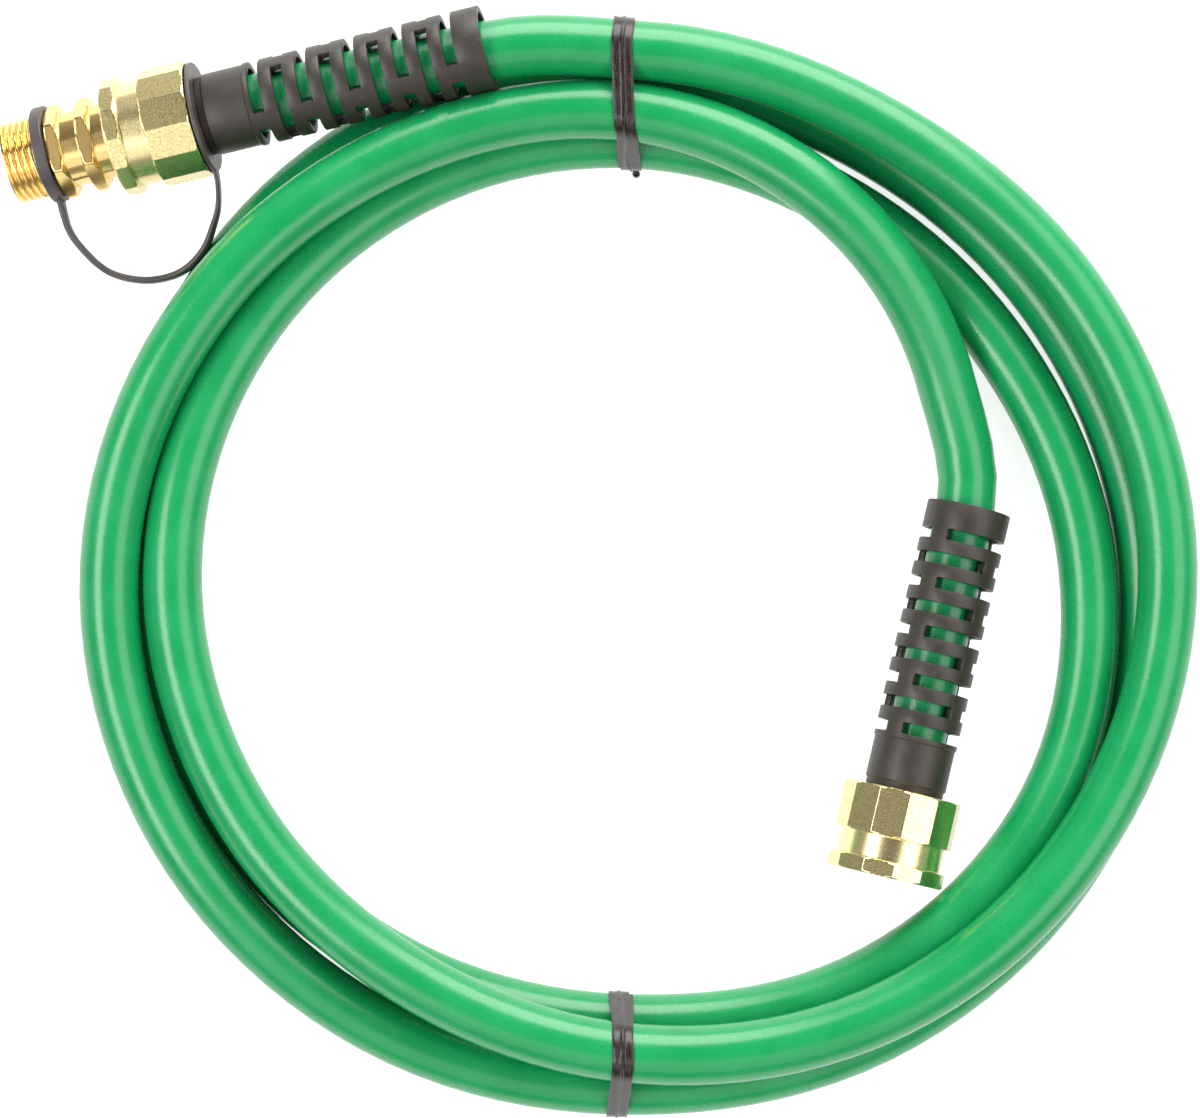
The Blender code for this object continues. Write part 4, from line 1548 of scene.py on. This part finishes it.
@dataclass
class Sleeve:
    """A slotted strain-relief sleeve, cut from a flat sheet and rolled up.

    Attributes:
        foot: the length of the narrow foot.
        base: the length of the plain base.
        slots: how many rows of slots there are.
        slot: the width of a slot along the axis.
        land: the width of the ring between two rows.
        collar: the length of the plain collar past the slots.
        length: its whole length.
        lip: how far the base's end stands back from the first slots.
        step: the length of the step between two radii.
        ring_radius: the radius of rings and collar.
        base_radius: the radius of the base.
        foot_radius: the radius of the foot.
        wall: the wall's thickness at the rings.
        bridge: half the angle of a bridge between two slots, in degrees.
        open_spans: how many spans the sheet has along a slot.
        corner: the radius of the slots' corners.
        ease: the rounding of all edges.
    """

    foot: float = 2.2 * MM
    base: float = 15.6 * MM
    slots: int = 9
    slot: float = 3.8 * MM
    land: float = 4.3 * MM
    collar: float = 9.0 * MM
    length: float = foot + base + slots * slot + (slots - 1) * land + collar
    lip: float = 1.9 * MM
    step: float = 0.4 * MM
    ring_radius: float = 13.8 * MM
    base_radius: float = 13.4 * MM
    foot_radius: float = 12.9 * MM
    wall: float = 2.2 * MM
    bridge: float = 13.0
    open_spans: int = 9
    corner: float = 1.05 * MM
    ease: float = 0.28 * MM

    def rows(self) -> list[float]:
        """Sets out the heights where the sheet is cut across.

        Returns:
            The heights.
        """
        first = self.foot + self.base
        rows = [self.foot - self.step / 2, self.foot + self.step / 2, 0.5 * (self.foot + first),
                first - self.lip, first - self.lip + self.step]
        for i in range(self.slots):
            low = first + i * (self.slot + self.land)
            rows += [low, low + self.slot]
        return [*rows, self.length - 0.5 * self.collar]

    def columns(self) -> list[float]:
        """Sets out the angles where the sheet is cut along.

        Returns:
            The angles, in degrees.
        """
        angles = []
        open_angle = 90.0 - 2 * self.bridge
        for quarter in range(4):
            middle = 90.0 * quarter
            angles += [middle - self.bridge, middle - self.bridge / 3,
                       middle + self.bridge / 3, middle + self.bridge]
            angles += [middle + self.bridge + open_angle * i / self.open_spans
                       for i in range(1, self.open_spans)]
        return angles

    def sheet(self, name: str) -> bpy.types.Object:
        """Models the flat sheet, upright, with its rows and columns of cuts.

        Args:
            name: the new object's name.

        Returns:
            The sheet.
        """
        around = math.tau * self.ring_radius
        put_down()
        bpy.ops.mesh.primitive_plane_add(size=1.0)
        piece = bpy.context.object
        piece.name = name
        move_mesh(piece, Matrix.Diagonal((around, self.length, 1.0, 1.0)),
                  Matrix.Rotation(math.pi / 2, 4, "X"),
                  Matrix.Translation((0.0, 0.0, self.length / 2)))
        open_mesh(piece)
        turns = [(angle + 180.0) % 360.0 - 180.0 for angle in self.columns()]
        cuts = [((turn / 360.0 * around, 0, 0), (1, 0, 0)) for turn in turns]
        for place, way in [*cuts, *(((0, 0, row), (0, 0, 1)) for row in self.rows())]:
            bpy.ops.mesh.select_all(action="SELECT")
            bpy.ops.mesh.bisect(plane_co=place, plane_no=way)
        put_down()
        return piece

    def in_slot(self, place: Vector) -> int:
        """Finds the slot that a place on the flat sheet lies in.

        Args:
            place: the place.

        Returns:
            The slot's number, or -1 where there is none.
        """
        angle = place.x / (math.tau * self.ring_radius) * 360.0
        row, rest = divmod(place.z - self.foot - self.base, self.slot + self.land)
        if not (0 <= row < self.slots and rest < self.slot):
            return -1
        shift = 90.0 * (row % 2)
        off = abs((angle - shift + 90.0) % 180.0 - 90.0)
        half = 2 if (angle - shift) % 360.0 > 180.0 else 1
        return -1 if off < self.bridge else int(row) * 4 + half

    def slot_corners(self, piece: bpy.types.Object) -> set[Triple]:
        """Finds the corners of the chosen slot that the sheet's edge doesn't cut off.

        Args:
            piece: the opened sheet, with the slot as its one chosen face.

        Returns:
            The corners, rounded as rounded() does.
        """
        work = bmesh.from_edit_mesh(piece.data)
        face = next(face for face in work.faces if face.select)
        edge_x = math.pi * self.ring_radius - NEAR
        return {rounded(vertex.co) for edge in face.edges for vertex in edge.verts
                if abs(edge.verts[0].co.x - edge.verts[1].co.x) < MERGE
                and abs(rounded(vertex.co)[0]) < edge_x}

    def cut_slots(self, piece: bpy.types.Object) -> None:
        """Cuts the slots out of the sheet, with rounded corners.

        Args:
            piece: the flat sheet.
        """
        for key in sorted({self.in_slot(face.center) for face in piece.data.polygons} - {-1}):
            open_mesh(piece, "FACE")
            choose_faces(piece, lambda place: self.in_slot(place) == key)
            bpy.ops.mesh.dissolve_faces()
            corners = self.slot_corners(piece)
            bpy.ops.mesh.select_mode(type="VERT")
            bpy.ops.mesh.select_all(action="DESELECT")
            choose_corners(piece, lambda co: rounded(co) in corners)
            bpy.ops.mesh.bevel(offset=self.corner, segments=3, affect="VERTICES")
            bpy.ops.mesh.select_mode(type="FACE")
            bpy.ops.mesh.select_all(action="DESELECT")
            choose_faces(piece, lambda place: self.in_slot(place) == key)
            bpy.ops.mesh.delete(type="FACE")
        put_down()

    def outer_radius(self, z: float) -> float:
        """Gives the outer radius at a height.

        Args:
            z: the height above the foot's end.

        Returns:
            The radius.
        """
        if z < self.foot:
            return self.foot_radius
        if z < self.foot + self.base - self.lip + self.step / 2:
            return self.base_radius
        return self.ring_radius

    def build(self, end: Coupling) -> bpy.types.Object:
        """Models the sleeve on its coupling.

        Args:
            end: the coupling's frame.

        Returns:
            The sleeve.
        """
        piece = self.sheet(end.prefix + "_slotted_sleeve")
        self.cut_slots(piece)
        press(piece, "SIMPLE_DEFORM", deform_method="BEND", deform_axis="Z", angle=math.tau)
        move_mesh(piece, Matrix.Translation((0.0, -self.ring_radius, 0.0)),
                  Matrix.Rotation(math.pi / 2, 4, "Z"))
        tidy(piece)
        press(piece, "SOLIDIFY", thickness=self.wall, offset=-1.0)
        for vertex in piece.data.vertices:
            radius = off_axis(vertex.co)
            if radius > self.ring_radius - self.wall / 2:
                share = self.outer_radius(vertex.co.z) / radius
                vertex.co.x *= share
                vertex.co.y *= share
        press(piece, "BEVEL", width=self.ease, segments=2, limit_method="ANGLE",
              angle_limit=math.radians(50.0))
        soften(piece, 40.0)
        end.place(piece, end.sleeve_turn, end.sleeve_start)
        return piece

    def dress(self, sleeve: bpy.types.Object, end: Coupling, finishes: Finishes) -> None:
        """Gives the sleeve its plastic."""
        hand_in(sleeve, finishes.sleeve, Slot.SLEEVE, Body.HOSE, end.prefix + "_sleeve")


@dataclass
class Tether:
    """The rubber tether: a ring behind each neck and a strap between them.

    Attributes:
        front_ring: the length of the ring round the adapter's neck.
        rear_ring: the length of the ring behind the nut.
        front_top: where the front ring ends towards the nut.
        front_radius: the front ring's radius.
        rear_radius: the rear ring's radius.
        neck_hole: the radius of the front ring's hole.
        sleeve_hole: the radius of the rear ring's hole.
        ring_ease: the rounding of the rings' edges.
        ring_steps: how many columns of faces a ring has.
        strap: the strap's thickness.
        strap_rear: its thickness at the rear ring.
        thin_from: where it starts to get thinner, as a share of its length.
        thin_over: over what share it does.
        turn_over: the share at each end where it turns flat side up.
        strap_steps: how many spans there are between two points of the bend.
        corner_power: how round the strap's corners are, as in pushed().
        width: the strap's width.
        reach: how far it stands straight out of each ring.
        bend: (share of the way, outward, down) of its free points, in millimetres.
    """

    front_ring: float = 3.8 * MM
    rear_ring: float = 1.5 * MM
    front_top: float = -20.9 * MM
    front_radius: float = 16.0 * MM
    rear_radius: float = 18.2 * MM
    neck_hole: float = 12.7 * MM
    sleeve_hole: float = 11.3 * MM
    ring_ease: float = 0.45 * MM
    ring_steps: int = 72
    strap: float = 2.3 * MM
    strap_rear: float = 1.4 * MM
    thin_from: float = 0.72
    thin_over: float = 0.2
    turn_over: float = 0.12
    strap_steps: int = 5
    corner_power: float = 0.475
    width: float = 6.4 * MM
    reach: float = 3.6 * MM
    bend: tuple = (
        (0.01, 5.4, 1.0), (0.05, 10.9, 2.4), (0.15, 18.8, 4.8), (0.26, 23.4, 6.4),
        (0.43, 26.5, 7.4), (0.60, 26.6, 7.6), (0.73, 24.2, 6.9), (0.84, 19.5, 5.6),
        (0.91, 13.9, 4.0), (0.97, 7.8, 2.2),
    )

    def ring(self, top: float, bottom: float, radius: float, hole: float,
             end: Coupling) -> bpy.types.Object:
        """Models one turned ring with rounded edges, on the coupling.

        Args:
            top: where the ring ends towards the hose.
            bottom: where it ends towards the mouth.
            radius: its outer radius.
            hole: the radius of its hole.
            end: the coupling's frame.

        Returns:
            The ring.
        """
        ease = self.ring_ease
        outline = eased([(radius, top, ease), (radius, bottom, ease),
                         (hole, bottom, ease), (hole, top, ease)])
        piece = turned("tether_ring", outline, self.ring_steps)
        end.place(piece)
        return piece

    def path(self, end: Coupling) -> list[Vector]:
        """Places the strap's middle line, ring to ring.

        Args:
            end: the coupling's frame.

        Returns:
            The places.
        """
        front = self.front_top - self.front_ring / 2
        rear = SwivelNut.length + GAP + self.rear_ring / 2
        start = end.point(-self.front_radius - self.reach, 0.0, front)
        finish = end.point(-self.rear_radius - self.reach, 0.0, rear)
        way = finish - start
        out = Vector((way.y, -way.x, 0.0)).normalized()
        free = [start + way * share + (out * sag - UP * drop) * MM
                for share, sag, drop in self.bend]
        first = end.point(-(self.front_radius + self.neck_hole) / 2, 0.0, front)
        last = end.point(-(self.rear_radius + self.sleeve_hole) / 2, 0.0, rear)
        return [first, start, *free, finish, last]

    def make_strap(self, end: Coupling) -> bpy.types.Object:
        """Models the strap: one section pushed along its middle line.

        Args:
            end: the coupling's frame.

        Returns:
            The strap.
        """
        path = smooth_path(self.path(end), self.strap_steps)
        last = len(path) - 1
        across = end.matrix.col[1].to_3d()
        sections = []
        for i, place in enumerate(path):
            way = (path[min(i + 1, last)] - path[max(i - 1, 0)]).normalized()
            blend = min(i, last - i) / (self.turn_over * last)
            up = across.lerp(UP, min(blend, 1.0)).normalized()
            side = way.cross(up).normalized()
            up = side.cross(way)
            thin = clamped((i / last - self.thin_from) / self.thin_over)
            thick = self.strap + (self.strap_rear - self.strap) * thin
            sections.append((place, side * thick / 2, up * self.width / 2))
        return pushed("rubber_tether", sections, self.corner_power)

    def build(self, end: Coupling) -> bpy.types.Object:
        """Models the tether and joins its strap to its rings.

        Args:
            end: the coupling's frame.

        Returns:
            The tether.
        """
        rear_bottom = SwivelNut.length + GAP
        strap = self.make_strap(end)
        rings = [
            self.ring(self.front_top, self.front_top - self.front_ring,
                      self.front_radius, self.neck_hole, end),
            self.ring(rear_bottom + self.rear_ring, rear_bottom,
                      self.rear_radius, self.sleeve_hole, end),
        ]
        for ring in rings:
            unite(strap, ring)
        soften(strap, 38.0)
        return strap

    def dress(self, tether: bpy.types.Object, finishes: Finishes) -> None:
        """Gives the tether its rubber."""
        hand_in(tether, finishes.tether, Slot.TETHER, Body.HOSE, "tether")


# The ties


@dataclass
class TwistTie:
    """A flat wire-cored tie round the strands, with its ends twisted under the coil.

    Attributes:
        name: the object's name.
        node: the CAD node that it stands for.
        clock: where it is on the coil, in degrees clockwise from the top.
        sway: how far its middle strays sideways, as (radius, way) pairs in millimetres.
        tail_way: the tail's heading off the way to the coil's middle, in degrees.
        tail_length: the tail's length.
        width: the ribbon's width.
        slack: how far it stands off the strands.
        thickness: its thickness at the edges.
        ridge: how far the wire in its middle lifts it.
        steps: how many spans the loop has.
        tail_width: the width of the twisted ends.
        tail_thickness: their thickness.
        tail_turns: how many turns they are twisted.
        tail_root: where they leave the inner strand, in degrees up from its underside.
        tail_out: how far they reach out before they bend.
        tail_bend: where they bend, as a share of their length.
        tail_rest: the height at which they lie.
        tail_tip: their size where they start, as a share.
        tail_growth: how fast they grow from there to full size.
        tail_steps: how many spans they have.
        tail_power: how round their corners are, as in pushed().
    """

    name: str
    node: str
    clock: float
    sway: tuple
    tail_way: float
    tail_length: float
    width: float = 6.8 * MM
    slack: float = 0.35 * MM
    thickness: float = 0.42 * MM
    ridge: float = 0.43 * MM
    steps: int = 120
    tail_width: float = 2.6 * MM
    tail_thickness: float = 1.5 * MM
    tail_turns: float = 1.25
    tail_root: float = 36.0
    tail_out: float = 0.6 * MM
    tail_bend: float = 0.4
    tail_rest: float = 1.7 * MM
    tail_tip: float = 0.6
    tail_growth: float = 1.3
    tail_steps: int = 28
    tail_power: float = 0.7

    @staticmethod
    def way(clock: float) -> Vector:
        """Returns the level direction from the coil's middle at a clock angle."""
        angle = math.radians(clock)
        return Vector((math.sin(angle), math.cos(angle), 0.0))

    def crossings(self, hose: Hose, points: Sequence[Vector], aside: float) -> list[Vector]:
        """Finds where the strands pass a plane beside the tie's middle.

        Args:
            hose: the hose's sizes.
            points: its middle line.
            aside: how far the plane lies from the tie's middle.

        Returns:
            Each strand's (radius, height) there.
        """
        outward, across = self.way(self.clock), self.way(self.clock + 90.0)
        found = []
        for start, end in zip(points, points[1:]):
            before = (start - hose.middle).dot(across) - aside
            after = (end - hose.middle).dot(across) - aside
            if before * after < 0.0:
                place = start.lerp(end, before / (before - after)) - hose.middle
                if place.dot(outward) > 0.0:
                    found.append(Vector((place.dot(outward), place.z)))
        return found

    def profile(self) -> list[tuple[float, float]]:
        """Draws the ribbon's section, with a ridge over its wire.

        Returns:
            Its points, as (share of the half width, height).
        """
        top = self.thickness
        half = [(1.0, 0.6 * top), (0.94, top), (0.6, 0.92 * top), (0.3, 0.92 * top),
                (0.12, top + 0.3 * self.ridge), (0.06, top + self.ridge)]
        outer = [(-share, height) for share, height in half]
        inner = [(share, 0.0) for share in (0.97, 0.5, 0.0, -0.5, -0.97)]
        return [*outer, *reversed(half), *inner]

    def stray(self, radius: float) -> float:
        """Reads how far the ribbon's middle strays sideways.

        Args:
            radius: the distance from the coil's middle.

        Returns:
            The way sideways.
        """
        far = radius / MM
        for (r_1, way_1), (r_2, way_2) in zip(self.sway, self.sway[1:]):
            if far <= r_2:
                share = slow_ended(clamped((far - r_1) / (r_2 - r_1)))
                return (way_1 + (way_2 - way_1) * share) * MM
        return self.sway[-1][1] * MM

    def loop(self, hose: Hose, points: Sequence[Vector]) -> bpy.types.Object:
        """Models the ribbon's closed loop round all the strands.

        Args:
            hose: the hose's sizes.
            points: its middle line.

        Returns:
            The loop, with the marks across and round for its finish.
        """
        profile = self.profile()
        count = len(profile)
        outward, across = self.way(self.clock), self.way(self.clock + 90.0)
        put_down()
        bpy.ops.mesh.primitive_torus_add(major_segments=self.steps, minor_segments=count)
        piece = bpy.context.object
        piece.name = self.name
        cuts = [self.crossings(hose, points, share * self.width / 2) for share, _ in profile]
        middle_cut = self.crossings(hose, points, 0.0)
        across_mark = piece.data.attributes.new("across", "FLOAT", "POINT")
        round_mark = piece.data.attributes.new("round", "FLOAT", "POINT")
        for index, vertex in enumerate(piece.data.vertices):
            i, j = divmod(index, count)
            angle = math.tau * i / self.steps
            share, height = profile[j]
            way = Vector((math.cos(angle), math.sin(angle)))
            radius, z = max(cuts[j], key=way.dot) + way * (hose.radius + self.slack + height)
            middle = max(middle_cut, key=way.dot).x + way.x * hose.radius
            aside = share * self.width / 2 + self.stray(middle)
            vertex.co = hose.middle + across * aside + outward * radius
            vertex.co.z += z
            across_mark.data[index].value = share * 2.0
            round_mark.data[index].value = (radius + z) / (10 * MM)
        tidy(piece)
        return piece

    def tail(self, hose: Hose, points: Sequence[Vector]) -> bpy.types.Object:
        """Models the two ends, twisted together and tucked under the inner strand.

        Args:
            hose: the hose's sizes.
            points: its middle line.

        Returns:
            The twisted ends.
        """
        inward = -self.way(self.clock)
        side = inward.cross(UP)
        inner = min(self.crossings(hose, points, 0.0), key=lambda section: section.x)
        root, turn = math.radians(self.tail_root), math.radians(self.tail_way)
        reach = hose.radius + self.slack + self.thickness + self.ridge
        run = (inward * math.cos(turn) + side * math.sin(turn)) * self.tail_length
        start = hose.middle - inward * (inner.x - reach * math.sin(root))
        start -= side * self.stray(inner.x - hose.radius)
        bend = start + inward * self.tail_out + run * self.tail_bend
        end = start + inward * self.tail_out + run
        start.z += inner.y - reach * math.cos(root)
        bend.z += self.tail_rest
        end.z += self.tail_rest
        sections = []
        for i in range(self.tail_steps + 1):
            share = i / self.tail_steps
            way = ((bend - start) * (1 - share) + (end - bend) * share).normalized()
            level = way.cross(UP).normalized()
            twist = math.tau * self.tail_turns * share
            wide = level * math.cos(twist) + level.cross(way) * math.sin(twist)
            size = min(self.tail_tip + self.tail_growth * share, 1.0)
            sections.append((bent(start, bend, end, share),
                             way.cross(wide) * size * self.tail_thickness / 2,
                             wide * size * self.tail_width / 2))
        return pushed(self.name + "_tail", sections, self.tail_power)

    def build(self, hose: Hose, points: Sequence[Vector]) -> bpy.types.Object:
        """Models the tie round the coil.

        Args:
            hose: the hose's sizes.
            points: its middle line.

        Returns:
            The tie.
        """
        piece = self.loop(hose, points)
        unite(piece, self.tail(hose, points))
        soften(piece, 45.0)
        return piece

    def dress(self, tie: bpy.types.Object, finishes: Finishes) -> None:
        """Gives the tie its vinyl."""
        hand_in(tie, finishes.tie, Slot.TIE, Body.HOSE, self.node)


def make_ties() -> tuple[TwistTie, TwistTie]:
    """Sets out both ties.

    Returns:
        The top tie and the bottom tie.
    """
    top = TwistTie("top_wire_tie", "top_twist_tie", clock=-2.0,
                   sway=((130.0, 1.8), (137.0, 0.9), (143.0, -0.2), (154.0, -0.6),
                         (168.0, -0.2), (178.0, 1.1)),
                   tail_way=-25.0, tail_length=5.4 * MM)
    bottom = TwistTie("bottom_wire_tie", "bottom_twist_tie", clock=182.0,
                      sway=((139.0, 2.3), (144.0, 1.6), (150.0, 0.5), (160.0, 0.0),
                            (168.0, 0.4), (176.0, 1.3)),
                      tail_way=90.0, tail_length=9.4 * MM)
    return top, bottom


# The studio


@dataclass(frozen=True)
class Softbox:
    """One soft studio light.

    Attributes:
        name: the light's name.
        place: where it hangs.
        width: its width.
        height: its height.
        power: its power, in watts.
        aim: the place that it faces.
    """

    name: str
    place: Triple
    width: float
    height: float
    power: float
    aim: Triple = (0.0, 0.0, 0.02)

    def build(self) -> None:
        """Hangs the light in the scene."""
        data = bpy.data.lights.new(self.name, "AREA")
        data.shape = "RECTANGLE"
        data.size, data.size_y = self.width, self.height
        data.energy = self.power
        lamp = bpy.data.objects.new(self.name, data)
        bpy.context.collection.objects.link(lamp)
        lamp.location = self.place
        way = Vector(self.aim) - Vector(self.place)
        lamp.rotation_euler = way.to_track_quat("-Z", "Y").to_euler()


@dataclass
class Studio:
    """Camera, floor, soft lights and surroundings.

    Attributes:
        camera_place: where the camera is, looking straight down.
        lens: its focal length, in millimetres.
        sensor: the width of its sensor, in millimetres.
        clip_start: the nearest distance that it sees.
        floor_size: the length of the floor's sides.
        floor_level: the floor's height.
        floor_grey: the floor's colour.
        floor_glow: how bright it glows, so that it stays pale.
        fade: the heights between which the surroundings darken.
        horizon: their brightness near the horizon.
        ceiling: their brightness overhead.
        lights: the soft lights.
    """

    camera_place: Triple = (0.00076, 0.00255, 1.319)
    lens: float = 118.9
    sensor: float = 36.0
    clip_start: float = 0.05
    floor_size: float = 3.0
    floor_level: float = -0.0004
    floor_grey: float = 0.45
    floor_glow: float = 0.8
    fade: tuple[float, float] = (0.1, 0.6)
    horizon: float = 0.38
    ceiling: float = 0.16
    lights: tuple = (
        Softbox("left_softbox", (-1.60, -0.40, 1.90), 2.4, 1.00, 62.0),
        Softbox("right_softbox", (1.55, 0.0, 1.75), 3.2, 1.50, 46.0),
        Softbox("back_softbox", (0.36, 2.2, 1.0), 2.5, 2.0, 118.0),
        Softbox("front_softbox", (-0.1, -1.6, 1.8), 2.8, 2.0, 20.0),
    )

    def place_camera(self) -> None:
        """Looks straight down on the coil."""
        data = bpy.data.cameras.new("studio_camera")
        data.lens = self.lens
        data.sensor_fit = "HORIZONTAL"
        data.sensor_width = self.sensor
        data.clip_start = self.clip_start
        camera = bpy.data.objects.new("studio_camera", data)
        bpy.context.collection.objects.link(camera)
        camera.location = self.camera_place
        bpy.context.scene.camera = camera

    def lay_floor(self) -> None:
        """Lays the plain pale floor under the coil."""
        put_down()
        bpy.ops.mesh.primitive_plane_add(size=self.floor_size,
                                         location=(0.0, 0.0, self.floor_level))
        floor = bpy.context.object
        floor.name = "studio_floor"
        made, _, _ = new_finish("pale_floor", Roughness=0.9, Emission_Color=WHITE,
                                Base_Color=(*[self.floor_grey] * 3, 1.0),
                                Emission_Strength=self.floor_glow)
        floor.data.materials.append(made)

    def light_world(self) -> None:
        """Makes the surroundings, pale at the horizon and darker overhead."""
        world = bpy.data.worlds.new("studio")
        world.use_nodes = True
        nodes = Nodes(world.node_tree)
        way = nodes.add("ShaderNodeTexCoord").outputs["Generated"]
        height = nodes.add("ShaderNodeSeparateXYZ", {0: way}).outputs["Z"]
        strength = nodes.spread(height, *self.fade, self.horizon, self.ceiling)
        back = world.node_tree.nodes["Background"]
        back.inputs["Color"].default_value = WHITE
        join(nodes, strength, back, "Strength")
        bpy.context.scene.world = world

    def build(self) -> None:
        """Sets up the whole studio."""
        self.place_camera()
        self.lay_floor()
        for light in self.lights:
            light.build()
        self.light_world()
        bpy.context.scene.view_settings.view_transform = "Standard"


# Assembly


def main() -> None:
    """Builds the camera, the hose, its couplings, the adapter, the tether and the ties."""
    logging.basicConfig(level=logging.INFO, format="%(name)s %(message)s")
    finishes = Finishes()
    Studio().build()
    near, far = make_couplings()
    hose, nut, sleeve, adapter, tether = Hose(), SwivelNut(), Sleeve(), Adapter(), Tether()
    points = hose.points(near, far)
    tube = hose.build(points)
    hose.dress(tube, finishes)
    inner_pieces = [InnerPieces(near), InnerPieces(far)]
    on_hose = inner_pieces[1].nodes()
    for end in (near, far):
        brass_nut = nut.build(end)
        nut.dress(brass_nut, end, finishes)
        slotted_sleeve = sleeve.build(end)
        sleeve.dress(slotted_sleeve, end, finishes)
        if end is far:
            on_hose += [brass_nut, slotted_sleeve]
    adapter.dress(adapter.build(near), near, finishes)
    tether.dress(tether.build(near), finishes)
    for tie in make_ties():
        ribbon = tie.build(hose, points)
        tie.dress(ribbon, finishes)
        on_hose.append(ribbon)
    for pieces in inner_pieces:
        pieces.dress(finishes)
    hose.declare(tube, points, on_hose)


if __name__ == "__main__":
    main()
